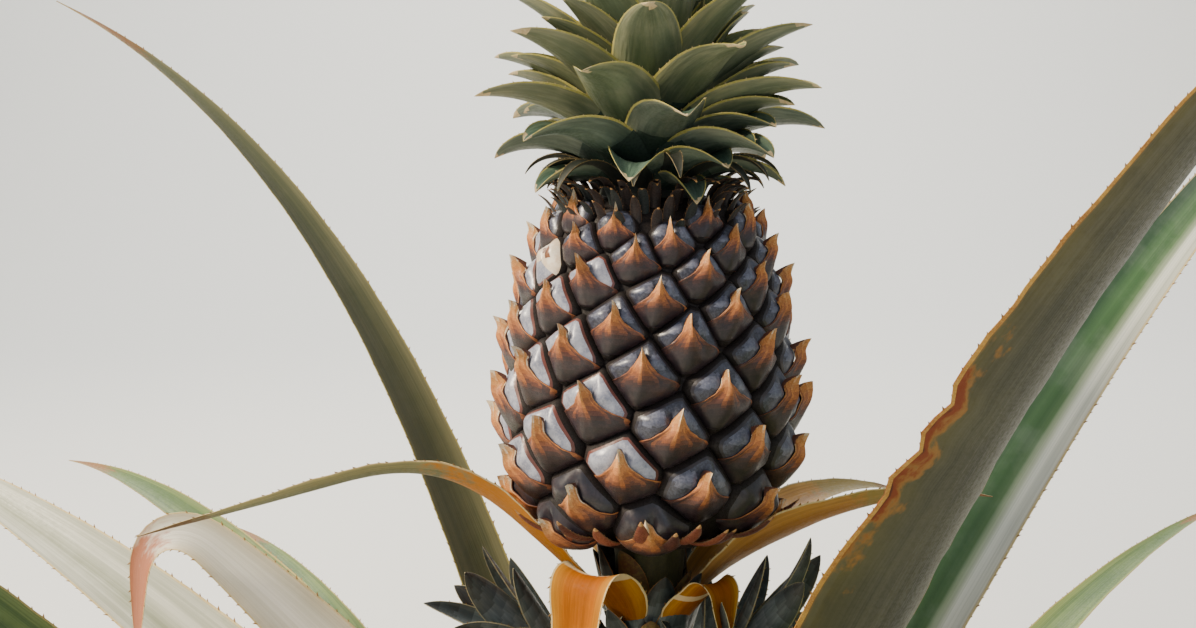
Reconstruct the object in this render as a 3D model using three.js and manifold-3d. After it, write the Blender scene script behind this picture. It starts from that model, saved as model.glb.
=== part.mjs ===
// A pineapple plant in fruit, in millimetres, +Z up.
// The origin is the centre of the flat cut under the stem, at ground level.
// The short club-shaped stem carries a rosette of channelled leaves. Above it a bare peduncle
// carries a few folded leaves, three slips, the fruit with its eyes, and the leafy crown.
import * as THREE from 'three';
import { mergeVertices } from 'three/addons/utils/BufferGeometryUtils.js';
import Module from 'manifold-3d';

// Driving dimensions
const STEM_HEIGHT = 262;
const FLARE_RADIUS = 34;
const WAIST_RADIUS = 23.5;
const CLUB_RADIUS = 32;
const STEM_TIP_RADIUS = 15;
const PEDUNCLE_RADIUS = 11;
const PEDUNCLE_TOP_RADIUS = 15;
const FRUIT_BASE_HEIGHT = 439;
const FRUIT_LENGTH = 138;
const FRUIT_RADIUS = 54;
const FRUIT_TOP_RADIUS = 27;
const FRUIT_FOOT_RADIUS = 30;
const EYE_COUNT = 93;
const LOWEST_EYE = 8;
const EYE_RISE_AT_FOOT = 2.05;
const EYE_RISE_AT_TOP = 0.64;
const EYE_FILL = 0.56;
const BRACT_LENGTH = 9.5;
const LOWEST_BRACTS = 26;
const CROWN_CORE_HEIGHT = 66;
const CROWN_CORE_RADIUS = 21;
const CROWN_LEAF_COUNT = 46;
const CROWN_LOW_NARROWING = 0.42;
const ROSETTE_COUNT = 34;
const CLEARANCE = 0.3;
const SEAT_SINK = 2.5;
const STEM_SIDES = 20;
const PEDUNCLE_SIDES = 14;
const FRUIT_SIDES = 16;
const SHOOT_SIDES = 10;

// Leaves and eyes follow each other by this turn about the plant's axis, in degrees.
const GOLDEN_TURN = 137.508;
const ROSETTE_PHASE = 136;
const EYE_PHASE = 79.5;
const CROWN_PHASE = 16.4;

// A solid leaf is this share of its length thick at the midrib, and half that at its margins.
const THICKNESS_SHARE = 0.0106;
const MARGIN_SHARE = 0.5;
const BLUNT_TIP = 5;
const RULE_STEPS = 40;
const LEAF_STATIONS = 8;
const SEAT_RINGS = 4;
const TIP_STATIONS = LEAF_STATIONS - 5;
const RISE_STATIONS = LEAF_STATIONS - 3;
const DEG = Math.PI / 180;

// A strap leaf clasps its limb a little wider than its width, or starts narrower, and widens
// or narrows to its full width over a share of its length. Its channel is half the angle of
// its section's arc, in radians, and its twist is complete after a share of its length.
const CLASP_SHARE = 1.12;
const CLASP_OVER = 0.1;
const NARROW_SEAT_OVER = 0.3;
const STRAP_TAPER = 2.2;
const STRAP_CHANNEL = 0.55;
const TWIST_OVER = 0.4;

// Rosette places that the seven long leaves below already take up
const TAKEN_PLACES = new Set([19, 23, 24, 26, 27, 28, 29, 31, 33]);

// The long leaves that rise beside the fruit. Angles are in degrees: azimuth and rise at the
// seat, droop from seat to tip, sweep of the azimuth along the leaf, twist about its midrib.
// A fold is where the leaf is bent over, by how much, and over what share of its length.
// A leaf that bends round a wide gap is split there into two solids.
const LONG_LEAVES = {
  leaf_right_big: {
    azimuth: -48, seat: 240, rise: 67.3, droop: 23.6, bend: 1.62, sweep: 28.5, twist: -17.1,
    length: 598, width: 72, seatShare: 0.8,
  },
  leaf_right_nested: {
    azimuth: 23.5, seat: 222.7, rise: 58.2, droop: 34.7, bend: 1.8, sweep: 10.3, twist: 40.9,
    length: 625, width: 42.8,
  },
  leaf_left_silver: {
    azimuth: 170.4, seat: 186.6, rise: 62.5, droop: 54.8, bend: 0.91, sweep: -26, twist: -40.7,
    length: 480, width: 50,
  },
  leaf_left_green: {
    azimuth: 209.8, seat: 146.2, rise: 58.3, droop: 20, bend: 1.2, sweep: -5.3, twist: -35.8,
    length: 560, width: 43.6,
  },
  leaf_left_bent: {
    azimuth: 188, seat: 222, rise: 75.8, droop: 44.2, bend: 0.8, sweep: -14, twist: -70,
    length: 345, width: 42, seatShare: 0.62, fold: { at: 0.82, angle: 120, over: 0.14 }, split: 0.825,
  },
  leaf_left_peach: {
    azimuth: 229.6, seat: 248.6, rise: 79.2, droop: 120.9, bend: 1.23, sweep: -19.4, twist: 59.8,
    length: 390, width: 44, split: 0.55,
  },
  leaf_back_left: {
    azimuth: 131, seat: 234, rise: 67, droop: 41.5, bend: 2.5, sweep: 40, twist: -20,
    length: 530, width: 31, seatShare: 0.8, split: 0.7,
  },
};

// The leaves on the peduncle just under the fruit, some bent over and hanging down
const PEDUNCLE_LEAVES = {
  bract_left_long: {
    azimuth: 194.6, seat: 408, rise: 44.9, droop: 0, bend: 1, sweep: -17.3, twist: 22,
    length: 217, width: 28, seatShare: 0.4, fold: { at: 0.43, angle: 60, over: 0.4 },
  },
  bract_front_left: {
    azimuth: 238, seat: 404, rise: 48, droop: 10, bend: 1, sweep: -4, twist: 0,
    length: 108, width: 33, seatShare: 0.34, fold: { at: 0.4, angle: 124, over: 0.18 },
  },
  bract_front_right: {
    azimuth: 308, seat: 402, rise: 50, droop: 10, bend: 1, sweep: 0, twist: 0,
    length: 66, width: 24, seatShare: 0.42, fold: { at: 0.56, angle: 128, over: 0.22 },
  },
  bract_right: {
    azimuth: -26, seat: 410, rise: 50, droop: 60, bend: 1.1, sweep: 38, twist: -34,
    length: 140, width: 29, seatShare: 0.38,
  },
  bract_back_right: {
    azimuth: 30, seat: 406, rise: 50, droop: 70, bend: 0.9, sweep: 10, twist: 10,
    length: 140, width: 28, seatShare: 0.4,
  },
  bract_back_left: {
    azimuth: 112, seat: 407, rise: 52, droop: 85, bend: 0.9, sweep: -8, twist: -12,
    length: 126, width: 27, seatShare: 0.4,
  },
};

// Slips: small leafy shoots that grow out of the peduncle
const SLIPS = {
  slip_left: { azimuth: 193, seat: 368, rise: 42, length: 62, radius: 15, phase: 20 },
  slip_right: { azimuth: -27, seat: 370, rise: 45, length: 62, radius: 15, phase: 75 },
  slip_back: { azimuth: 80, seat: 366, rise: 46, length: 56, radius: 14, phase: 140 },
};
const SLIP_LEAVES = 12;
const SLIP_FOOT_SHARE = 0.5;

// The dry leaves round the stem's foot, fused in fans on a short collar each
const SKIRT_FANS = 3;
const SKIRT_LEAVES = 3;
const SKIRT_FOOT = 2;
const SKIRT_DEPTH = 7;
const SKIRT_WALL = 4;
const SKIRT_PARTING = 2;
const SKIRT_SEGMENTS = 8;

const COLOURS = {
  bark: '#6b5638',
  peduncle: '#5a5335',
  fruit: '#4a3a3c',
  crown: '#5d6a52',
  slip: '#5f6d5c',
  dryLeaf: '#8a6a3c',
  rosetteLeaf: '#6d7a4a',
  paleLeaf: '#a9aa8a',
  foldedLeaf: '#b98a35',
};

const wasm = await Module();
wasm.setup();

function finish(colour, roughness) {
  return new THREE.MeshStandardMaterial({ color: colour, roughness, metalness: 0 });
}

function named(name, geometry, colour, roughness) {
  const mesh = new THREE.Mesh(geometry, finish(colour, roughness));
  mesh.name = name;
  return mesh;
}

function smoothStep(value) {
  const t = THREE.MathUtils.clamp(value, 0, 1);
  return t * t * (3 - 2 * t);
}

// Reads a radius at a height from a list of [radius, height] pairs.
function radiusAt(profile, height) {
  const above = profile.findIndex((point) => point[1] >= height);
  if (above <= 0) return profile[above === 0 ? 0 : profile.length - 1][0];
  const [lowRadius, lowHeight] = profile[above - 1];
  const [highRadius, highHeight] = profile[above];
  return lowRadius + ((highRadius - lowRadius) * (height - lowHeight)) / (highHeight - lowHeight);
}

const STEM_PROFILE = [
  [FLARE_RADIUS, 0],
  [FLARE_RADIUS - 7, 14],
  [WAIST_RADIUS, 45],
  [26, 110],
  [CLUB_RADIUS - 1, 170],
  [CLUB_RADIUS, 215],
  [25, STEM_HEIGHT - 17],
  [STEM_TIP_RADIUS, STEM_HEIGHT],
];

const PEDUNCLE_FOOT = STEM_HEIGHT + CLEARANCE;
const PEDUNCLE_TOP = FRUIT_BASE_HEIGHT - CLEARANCE;
const PEDUNCLE_PROFILE = [
  [PEDUNCLE_RADIUS + 1, PEDUNCLE_FOOT],
  [PEDUNCLE_RADIUS, PEDUNCLE_FOOT + 40],
  [PEDUNCLE_RADIUS + 1, PEDUNCLE_TOP - 60],
  [PEDUNCLE_RADIUS + 2.5, PEDUNCLE_TOP - 20],
  [PEDUNCLE_TOP_RADIUS, PEDUNCLE_TOP],
];

// The fruit's flesh under the eyes, as shares of its length and its widest radius
const FRUIT_FORM = [
  [0, FRUIT_FOOT_RADIUS / FRUIT_RADIUS],
  [0.07, 0.78],
  [0.2, 0.93],
  [0.36, 1],
  [0.55, 0.97],
  [0.74, 0.87],
  [0.9, 0.74],
  [0.97, 0.62],
  [1, FRUIT_TOP_RADIUS / FRUIT_RADIUS],
];
const FRUIT_PROFILE = FRUIT_FORM.map(([along, share]) => [
  share * FRUIT_RADIUS,
  FRUIT_BASE_HEIGHT + along * FRUIT_LENGTH,
]);

// A closed turned solid from [radius, height] pairs
function turned(profile, sides) {
  const points = profile.map(([radius, height]) => new THREE.Vector2(radius, height));
  points.unshift(new THREE.Vector2(0, profile[0][1]));
  points.push(new THREE.Vector2(0, profile.at(-1)[1]));
  const geometry = new THREE.LatheGeometry(points, sides);
  geometry.rotateX(Math.PI / 2);
  return geometry;
}

// A closed solid through rings of points, each ring with the same count. It ends in a flat cap,
// or in a point where one is given.
function lofted(rings, apex) {
  const count = rings[0].length;
  const outline = rings[0].map((point, index) => {
    const angle = (2 * Math.PI * index) / count;
    return new THREE.Vector2(Math.cos(angle), Math.sin(angle));
  });
  const cap = THREE.ShapeUtils.triangulateShape(outline, []);
  const index = [];
  for (let ring = 0; ring < rings.length - 1; ring += 1) {
    for (let side = 0; side < count; side += 1) {
      const here = ring * count + side;
      const next = ring * count + ((side + 1) % count);
      index.push(here, next, next + count, here, next + count, here + count);
    }
  }
  for (const [a, b, c] of cap) {
    index.push(a, c, b);
  }
  const last = (rings.length - 1) * count;
  const points = rings.flat();
  if (apex) {
    for (let side = 0; side < count; side += 1) {
      index.push(last + side, last + ((side + 1) % count), points.length);
    }
    points.push(apex);
  } else {
    for (const [a, b, c] of cap) {
      index.push(last + a, last + b, last + c);
    }
  }
  const geometry = new THREE.BufferGeometry();
  geometry.setFromPoints(points);
  geometry.setIndex(index);
  return geometry;
}

// The solid of a closed geometry, for joining and cutting
function solidOf(geometry) {
  const bare = geometry.clone();
  bare.deleteAttribute('normal');
  bare.deleteAttribute('uv');
  const merged = mergeVertices(bare, 1e-4);
  const solid = new wasm.Manifold(new wasm.Mesh({
    numProp: 3,
    vertProperties: merged.attributes.position.array,
    triVerts: new Uint32Array(merged.index.array),
  }));
  return solid;
}

function geometryOf(solid) {
  const mesh = solid.getMesh();
  const geometry = new THREE.BufferGeometry();
  geometry.setAttribute('position', new THREE.BufferAttribute(mesh.vertProperties, mesh.numProp));
  geometry.setIndex(new THREE.BufferAttribute(mesh.triVerts, 1));
  return geometry;
}

function joined(geometries) {
  const solids = geometries.map(solidOf);
  return geometryOf(solids.slice(1).reduce((whole, part) => whole.add(part), solids[0]));
}

// Follows a leaf's midrib from its seat. Each frame holds the point, the side and upper
// directions after the twist, and the share of the length that lies behind it.
function midrib(leaf, seat) {
  const frames = [];
  const point = seat.clone();
  let before = null;
  for (let step = 0; step <= RULE_STEPS; step += 1) {
    const share = step / RULE_STEPS;
    let rise = leaf.rise - leaf.droop * share ** leaf.bend;
    if (leaf.fold) {
      rise -= leaf.fold.angle * smoothStep((share - leaf.fold.at) / leaf.fold.over + 0.5);
    }
    const heading = (leaf.azimuth + leaf.sweep * share) * DEG;
    const level = Math.cos(rise * DEG);
    const along = new THREE.Vector3(
      level * Math.cos(heading), level * Math.sin(heading), Math.sin(rise * DEG),
    );
    if (before) {
      point.addScaledVector(along.clone().add(before), leaf.length / RULE_STEPS / 2);
    }
    before = along;
    const side = new THREE.Vector3(-Math.sin(heading), Math.cos(heading), 0);
    const up = new THREE.Vector3().crossVectors(along, side);
    const twist = leaf.twist * DEG * smoothStep(share / TWIST_OVER);
    side.applyAxisAngle(along, twist);
    up.applyAxisAngle(along, twist);
    frames.push({ share, point: point.clone(), along, side, up });
  }
  return frames;
}

// Strap-shaped: a broad or narrow seat, then even width, then drawn out to the tip
function strapWidth(leaf, share) {
  const seat = leaf.seatShare ?? CLASP_SHARE;
  const over = seat > 1 ? CLASP_OVER : NARROW_SEAT_OVER;
  const clasp = 1 + (seat - 1) * Math.max(0, 1 - share / over) ** 2;
  return leaf.width * clasp * (1 - share ** STRAP_TAPER);
}

// Lance-shaped: broadest near its middle, then drawn out to the tip
function lanceWidth(leaf, share) {
  return leaf.width * (1 + 0.6 * share) * (1 - share ** 1.8) ** 0.8;
}

// The section of a channelled leaf: an arc whose margins stand up on the upper side. Three
// points run along its lower face, then three back along its upper face.
function sectionOf(leaf, frame, width, thickness) {
  const channel = leaf.channel ?? STRAP_CHANNEL;
  const curve = width / 2 / channel;
  const place = (where, lift) => frame.point.clone()
    .addScaledVector(frame.side, curve * Math.sin(channel * where))
    .addScaledVector(frame.up, curve * (1 - Math.cos(channel * where)) + lift);
  const half = (where) => (thickness / 2) * (where === 0 ? 1 : MARGIN_SHARE);
  const lower = [-1, 0, 1].map((where) => place(where, -half(where)));
  const upper = [1, 0, -1].map((where) => place(where, half(where)));
  return [...lower, ...upper];
}

// The sections of a channelled leaf between two shares of its length
function leafRings(leaf, seat, blunt, stations, from, to) {
  const frames = midrib(leaf, seat);
  const rings = [];
  for (let station = 0; station <= stations; station += 1) {
    const share = from + ((to - from) * station) / stations;
    const frame = { ...frames[Math.round(share * RULE_STEPS)] };
    if (from > 0 && station === 0) {
      frame.point = frame.point.clone().addScaledVector(frame.along, CLEARANCE);
    }
    const width = Math.max(strapWidth(leaf, frame.share), blunt);
    rings.push(sectionOf(leaf, frame, width, THICKNESS_SHARE * leaf.length));
  }
  return rings;
}

// A small leaf of a crown or slip: a keeled blade with a four-point section and a sharp tip
function keeledLeaf(leaf, seat, stations) {
  const { channel } = leaf;
  const thickness = Math.max(THICKNESS_SHARE * leaf.length, leaf.leastThickness);
  const frames = midrib(leaf, seat);
  const rings = [];
  for (let station = 0; station < stations; station += 1) {
    const frame = frames[Math.round((station * RULE_STEPS) / stations)];
    const width = lanceWidth(leaf, frame.share);
    const margin = (width / 2) * Math.sin(channel) / channel;
    const lift = (width / 2 / channel) * (1 - Math.cos(channel));
    const place = (sideways, upwards) => frame.point.clone()
      .addScaledVector(frame.side, sideways)
      .addScaledVector(frame.up, upwards);
    rings.push([
      place(-margin, lift),
      place(0, -thickness / 2),
      place(margin, lift),
      place(0, thickness / 2),
    ]);
  }
  return lofted(rings, frames.at(-1).point);
}

// The seat of a leaf on a turned limb: as near the limb as the leaf's first stretch can lie
// with its upper face clear of it all along
function seatOn(profile, leaf, rings) {
  const heading = leaf.azimuth * DEG;
  const outward = new THREE.Vector3(Math.cos(heading), Math.sin(heading), 0);
  const sideways = new THREE.Vector3(-Math.sin(heading), Math.cos(heading), 0);
  const top = profile.at(-1)[1];
  const shares = [0, 0.25, 0.5, 0.75, 1];
  let radius = 0;
  const clear = (point) => {
    const limb = radiusAt(profile, point.z) + CLEARANCE;
    const beside = point.dot(sideways);
    if (point.z < top && Math.abs(beside) < limb) {
      radius = Math.max(radius, Math.sqrt(limb ** 2 - beside ** 2) - point.dot(outward));
    }
  };
  for (let ring = 0; ring < SEAT_RINGS; ring += 1) {
    for (const along of shares) {
      const [right, middle, left] = [3, 4, 5].map((side) => (
        rings[ring][side].clone().lerp(rings[ring + 1][side], along)
      ));
      for (const across of shares) {
        clear(right.clone().lerp(middle, across));
        clear(middle.clone().lerp(left, across));
      }
    }
  }
  return outward.multiplyScalar(radius).setZ(leaf.seat);
}

// The solids of a long leaf on a turned limb: one, or two where it is split at its bend
function leavesOn(profile, name, leaf, blunt) {
  const end = leaf.split ?? 1;
  const stations = leaf.split ? RISE_STATIONS : LEAF_STATIONS;
  const onAxis = leafRings(leaf, new THREE.Vector3(0, 0, leaf.seat), blunt, stations, 0, end);
  const seat = seatOn(profile, leaf, onAxis);
  const first = lofted(leafRings(leaf, seat, blunt, stations, 0, end));
  if (!leaf.split) {
    return [[name, first]];
  }
  const second = lofted(leafRings(leaf, seat, blunt, TIP_STATIONS, end, 1));
  return [[`${name}_rise`, first], [`${name}_fall`, second]];
}

// The rule of the rosette: older leaves sit low, lie flat and are drier
function rosetteLeaf(place) {
  const age = place / (ROSETTE_COUNT - 1);
  const swell = Math.sin(Math.PI * Math.min(age * 0.95 + 0.08, 1));
  return {
    azimuth: ROSETTE_PHASE + place * GOLDEN_TURN,
    seat: 20 + 224 * age,
    rise: 31 + 43 * age ** 0.9,
    droop: 38 + 40 * age + 6 * Math.sin(place * 2.4),
    bend: 1.3,
    sweep: 8 * Math.sin(place * 1.7),
    twist: 14 * Math.sin(place * 2.9),
    length: 330 + 190 * swell,
    width: 36 + 9 * Math.sin(Math.PI * age),
  };
}

// A fan of short dry leaves that lie low round the stem's foot, on a part of a ring
function skirtFan(fan) {
  const turn = 360 / SKIRT_FANS;
  const inner = radiusAt(STEM_PROFILE, SKIRT_FOOT) + CLEARANCE;
  const ring = new THREE.Shape();
  const start = (fan * turn + SKIRT_PARTING) * DEG;
  const end = ((fan + 1) * turn - SKIRT_PARTING) * DEG;
  const segmentHalf = (end - start) / 2 / SKIRT_SEGMENTS;
  ring.absarc(0, 0, inner / Math.cos(segmentHalf), start, end, false);
  ring.absarc(0, 0, inner + SKIRT_WALL, end, start, true);
  const collar = new THREE.ExtrudeGeometry(ring, {
    depth: SKIRT_DEPTH, bevelEnabled: false, curveSegments: SKIRT_SEGMENTS,
  });
  collar.translate(0, 0, SKIRT_FOOT);
  const pieces = [collar];
  for (let place = 0; place < SKIRT_LEAVES; place += 1) {
    const item = fan * SKIRT_LEAVES + place;
    const leaf = {
      azimuth: (fan + (place + 0.5) / SKIRT_LEAVES) * turn,
      rise: 10 + 9 * (place % 2),
      droop: 10 + 8 * (place % 2),
      bend: 1,
      sweep: 8 * Math.sin(item * 2.1),
      twist: 10 * Math.sin(item * 1.3),
      length: 190 + 40 * Math.sin(item * 1.9),
      width: 24,
      seatShare: 0.7,
      channel: 0.35,
    };
    const heading = leaf.azimuth * DEG;
    const radius = inner + SKIRT_WALL - 1;
    const lift = SKIRT_FOOT + SKIRT_DEPTH / 2;
    const seat = new THREE.Vector3(radius * Math.cos(heading), radius * Math.sin(heading), lift);
    pieces.push(lofted(leafRings(leaf, seat, 4, 4, 0, 1)));
  }
  return joined(pieces);
}

// The rule of the crown: short curling leaves at its foot, long spreading ones half way up,
// and steep ones round its heart
function crownLeaf(place) {
  const height = place / (CROWN_LEAF_COUNT - 1);
  const spread = Math.sin((Math.PI / 2) * Math.min(1, height * 2.2));
  return {
    azimuth: CROWN_PHASE + place * GOLDEN_TURN,
    rise: 28 + 42 * height + 16 * height ** 4,
    droop: 30 + 55 * (1 - height) ** 2.2 - 22 * height ** 6,
    bend: 1.2,
    sweep: 6 * Math.sin(place * 1.9),
    twist: 8 * Math.sin(place * 2.3),
    length: 24 + 40 * spread + 45 * height ** 8,
    width: (20 + 12 * Math.sin(Math.PI * Math.min(1, height * 0.85 + 0.12)))
      * (1 - CROWN_LOW_NARROWING * Math.max(0, 1 - height * 5)),
    channel: 1,
    seat: 1.5 + (CROWN_CORE_HEIGHT - 10) * height ** 1.37,
    leastThickness: 2,
  };
}

// The crown: a short tapering core with all its leaves
function crown() {
  const foot = FRUIT_BASE_HEIGHT + FRUIT_LENGTH + CLEARANCE;
  const core = [
    [CROWN_CORE_RADIUS, foot],
    [CROWN_CORE_RADIUS * 0.28, foot + CROWN_CORE_HEIGHT],
  ];
  const pieces = [turned(core, SHOOT_SIDES)];
  for (let place = 0; place < CROWN_LEAF_COUNT; place += 1) {
    const leaf = crownLeaf(place);
    const radius = radiusAt(core, foot + leaf.seat) - SEAT_SINK;
    const heading = leaf.azimuth * DEG;
    const seat = new THREE.Vector3(
      radius * Math.cos(heading), radius * Math.sin(heading), foot + leaf.seat,
    );
    pieces.push(keeledLeaf(leaf, seat, 4));
  }
  return joined(pieces);
}

// A slip grows out of the peduncle along its own rising axis
function slip(shape) {
  const core = [
    [shape.radius * SLIP_FOOT_SHARE, 0],
    [shape.radius, shape.length * 0.25],
    [shape.radius * 0.8, shape.length * 0.6],
    [shape.radius * 0.3, shape.length * 0.95],
  ];
  const pieces = [turned(core, SHOOT_SIDES)];
  for (let place = 0; place < SLIP_LEAVES; place += 1) {
    const height = place / (SLIP_LEAVES - 1);
    const leaf = {
      azimuth: shape.phase + place * GOLDEN_TURN,
      rise: 38 + 44 * height,
      droop: 12 + 8 * Math.sin(place * 2.1),
      bend: 1.2,
      sweep: 0,
      twist: 0,
      length: 30 + 12 * height,
      width: 17,
      channel: 0.8,
      leastThickness: 2,
    };
    const heading = leaf.azimuth * DEG;
    const along = shape.length * (0.12 + 0.66 * height);
    const radius = radiusAt(core, along) - SEAT_SINK;
    const seat = new THREE.Vector3(radius * Math.cos(heading), radius * Math.sin(heading), along);
    pieces.push(keeledLeaf(leaf, seat, 3));
  }
  const geometry = joined(pieces);
  const rise = shape.rise * DEG;
  const heading = shape.azimuth * DEG;
  const foot = shape.radius * SLIP_FOOT_SHARE;
  const limb = radiusAt(PEDUNCLE_PROFILE, shape.seat + foot * Math.cos(rise));
  const out = limb + CLEARANCE + foot * Math.sin(rise);
  geometry.rotateY(Math.PI / 2 - rise);
  geometry.rotateZ(heading);
  geometry.translate(out * Math.cos(heading), out * Math.sin(heading), shape.seat);
  return geometry;
}

// One eye of the fruit: a five-sided boss with a bract whose point stands up and out.
// The eyes climb in smaller steps, and are smaller, towards the crown.
function eye(place) {
  const easing = (EYE_RISE_AT_FOOT - EYE_RISE_AT_TOP) / (2 * EYE_COUNT);
  const height = FRUIT_BASE_HEIGHT + LOWEST_EYE + EYE_RISE_AT_FOOT * place - easing * place ** 2;
  const step = EYE_RISE_AT_FOOT - 2 * easing * place;
  const radius = radiusAt(FRUIT_PROFILE, height);
  const slope = Math.atan2(
    radiusAt(FRUIT_PROFILE, height + 4) - radiusAt(FRUIT_PROFILE, height - 4), 8,
  );
  const spacing = Math.sqrt(2 * Math.PI * radius * step);
  const size = spacing * EYE_FILL;
  const heading = (EYE_PHASE + place * GOLDEN_TURN) * DEG;
  const side = new THREE.Vector3(-Math.sin(heading), Math.cos(heading), 0);
  const outward = new THREE.Vector3(Math.cos(heading), Math.sin(heading), 0)
    .applyAxisAngle(side, slope);
  const up = new THREE.Vector3().crossVectors(outward, side);
  const centre = new THREE.Vector3(
    radius * Math.cos(heading), radius * Math.sin(heading), height,
  );
  const ring = (scale, depth) => [0, 1, 2, 3, 4].map((corner) => {
    const angle = (corner * 72 - 90) * DEG;
    return centre.clone()
      .addScaledVector(side, size * scale * Math.cos(angle))
      .addScaledVector(up, size * scale * Math.sin(angle))
      .addScaledVector(outward, depth);
  });
  const blunter = 0.5 + 0.5 * smoothStep((height - FRUIT_BASE_HEIGHT) / LOWEST_BRACTS);
  const tip = centre.clone()
    .addScaledVector(up, size * 0.45)
    .addScaledVector(outward, BRACT_LENGTH * blunter * Math.min(1, spacing / 20));
  return lofted([ring(1, -4), ring(0.9, 2)], tip);
}

function fruit() {
  const pieces = [turned(FRUIT_PROFILE, FRUIT_SIDES)];
  for (let place = 0; place < EYE_COUNT; place += 1) {
    pieces.push(eye(place));
  }
  return joined(pieces);
}

const plant = new THREE.Group();

plant.add(named('stem', turned(STEM_PROFILE, STEM_SIDES), COLOURS.bark, 0.9));
plant.add(named('peduncle', turned(PEDUNCLE_PROFILE, PEDUNCLE_SIDES), COLOURS.peduncle, 0.85));
plant.add(named('fruit', fruit(), COLOURS.fruit, 0.6));

plant.add(named('crown', crown(), COLOURS.crown, 0.6));

for (const [name, shape] of Object.entries(SLIPS)) {
  plant.add(named(name, slip(shape), COLOURS.slip, 0.65));
}

for (const [name, leaf] of Object.entries(PEDUNCLE_LEAVES)) {
  for (const [part, geometry] of leavesOn(PEDUNCLE_PROFILE, name, leaf, 2)) {
    plant.add(named(part, geometry, COLOURS.foldedLeaf, 0.7));
  }
}

for (const [name, leaf] of Object.entries(LONG_LEAVES)) {
  for (const [part, geometry] of leavesOn(STEM_PROFILE, name, leaf, BLUNT_TIP)) {
    plant.add(named(part, geometry, COLOURS.paleLeaf, 0.6));
  }
}

for (let place = 0; place < ROSETTE_COUNT; place += 1) {
  if (TAKEN_PLACES.has(place)) continue;
  const name = `leaf_${String(place).padStart(2, '0')}`;
  const colour = place < 5 ? COLOURS.dryLeaf : COLOURS.rosetteLeaf;
  for (const [part, geometry] of leavesOn(STEM_PROFILE, name, rosetteLeaf(place), BLUNT_TIP)) {
    plant.add(named(part, geometry, colour, 0.6));
  }
}

for (let fan = 0; fan < SKIRT_FANS; fan += 1) {
  plant.add(named(`skirt_${fan + 1}`, skirtFan(fan), COLOURS.dryLeaf, 0.85));
}

export default plant;
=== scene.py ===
"""Looks of a pineapple plant in fruit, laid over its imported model, in metres with +Z up."""
import logging
import math
from dataclasses import dataclass, field, replace
from enum import Enum, IntEnum
from math import cos, pi, radians, sin

import bpy
import numpy as np
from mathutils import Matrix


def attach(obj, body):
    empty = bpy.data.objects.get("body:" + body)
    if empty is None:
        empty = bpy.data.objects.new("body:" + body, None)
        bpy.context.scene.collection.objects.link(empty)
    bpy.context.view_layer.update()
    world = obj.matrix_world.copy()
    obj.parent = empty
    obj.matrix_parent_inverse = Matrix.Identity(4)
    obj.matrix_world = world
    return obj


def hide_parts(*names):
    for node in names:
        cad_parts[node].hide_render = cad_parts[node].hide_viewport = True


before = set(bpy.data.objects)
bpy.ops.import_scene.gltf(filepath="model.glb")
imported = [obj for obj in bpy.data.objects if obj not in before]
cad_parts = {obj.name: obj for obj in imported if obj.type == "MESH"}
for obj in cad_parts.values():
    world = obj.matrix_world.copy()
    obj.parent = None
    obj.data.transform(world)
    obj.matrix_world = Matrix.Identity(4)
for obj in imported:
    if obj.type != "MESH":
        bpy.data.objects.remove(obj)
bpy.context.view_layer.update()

LOG = logging.getLogger("pineapple_plant")
Array = np.ndarray
Material = bpy.types.Material
Node = bpy.types.Node
NodeTree = bpy.types.NodeTree
Socket = bpy.types.NodeSocket

MM = 0.001
FULL_TURN = 2.0 * pi
GOLDEN_TURN = 137.508
BODY = "root"
BLADE_MAP = "Blade"
SHARP_EDGE = 60.0

# Heights and radii in millimetres, as in the solids.
CLEARANCE = 0.3
STEM_HEIGHT = 262.0
FRUIT_BASE = 439.0
FRUIT_LENGTH = 138.0
FRUIT_RADIUS = 54.0
CROWN_FOOT = FRUIT_BASE + FRUIT_LENGTH + CLEARANCE
CROWN_CORE_HEIGHT = 66.0
CROWN_CORE_RADIUS = 21.0

# A limb's profile is pairs of radius and height.
STEM_PROFILE = (
    (34.0, 0.0), (27.0, 14.0), (23.5, 45.0), (26.0, 110.0), (31.0, 170.0), (32.0, 215.0),
    (25.0, STEM_HEIGHT - 17.0), (15.0, STEM_HEIGHT),
)
PEDUNCLE_TOP = FRUIT_BASE - CLEARANCE
PEDUNCLE_PROFILE = (
    (12.0, STEM_HEIGHT + CLEARANCE), (11.0, STEM_HEIGHT + CLEARANCE + 40.0),
    (12.0, PEDUNCLE_TOP - 60.0), (13.5, PEDUNCLE_TOP - 20.0), (15.0, PEDUNCLE_TOP),
)

# The fruit's form is pairs of shares, of its length and of its radius.
FRUIT_FORM = (
    (0.0, 0.556), (0.07, 0.78), (0.2, 0.93), (0.36, 1.0), (0.55, 0.97), (0.74, 0.87),
    (0.9, 0.74), (0.97, 0.62), (1.0, 0.5),
)

# The rule of the leaves' outlines and seats, as in the solids.
STRAP_TAPER = 2.2
CLASP_REACH = 0.1
WAIST_REACH = 0.3
LANCE_TAPER = 1.8
LANCE_SWELL = 0.6
LANCE_BLUNTNESS = 0.8
TWIST_REACH = 0.4
RULE_STEPS = 40
SEAT_STEPS = 20
SEAT_COLUMNS = 9
SEAT_MARGIN = 1.5


def smooth(value: Array | float) -> Array:
    """Ease a value from 0 to 1, and hold it there outside that range."""
    t = np.clip(value, 0.0, 1.0)
    return t * t * (3.0 - 2.0 * t)


def wave(value: Array | float, seed: float) -> Array:
    """Give an uneven repeatable wave between about -1 and 1, shifted by its seed."""
    return (np.sin(value + 1.7 * seed) + 0.6 * np.sin(2.31 * value + 4.1 * seed + 1.3)
            + 0.4 * np.sin(4.97 * value + 2.3 * seed + 0.4)) / 2.0


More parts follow.
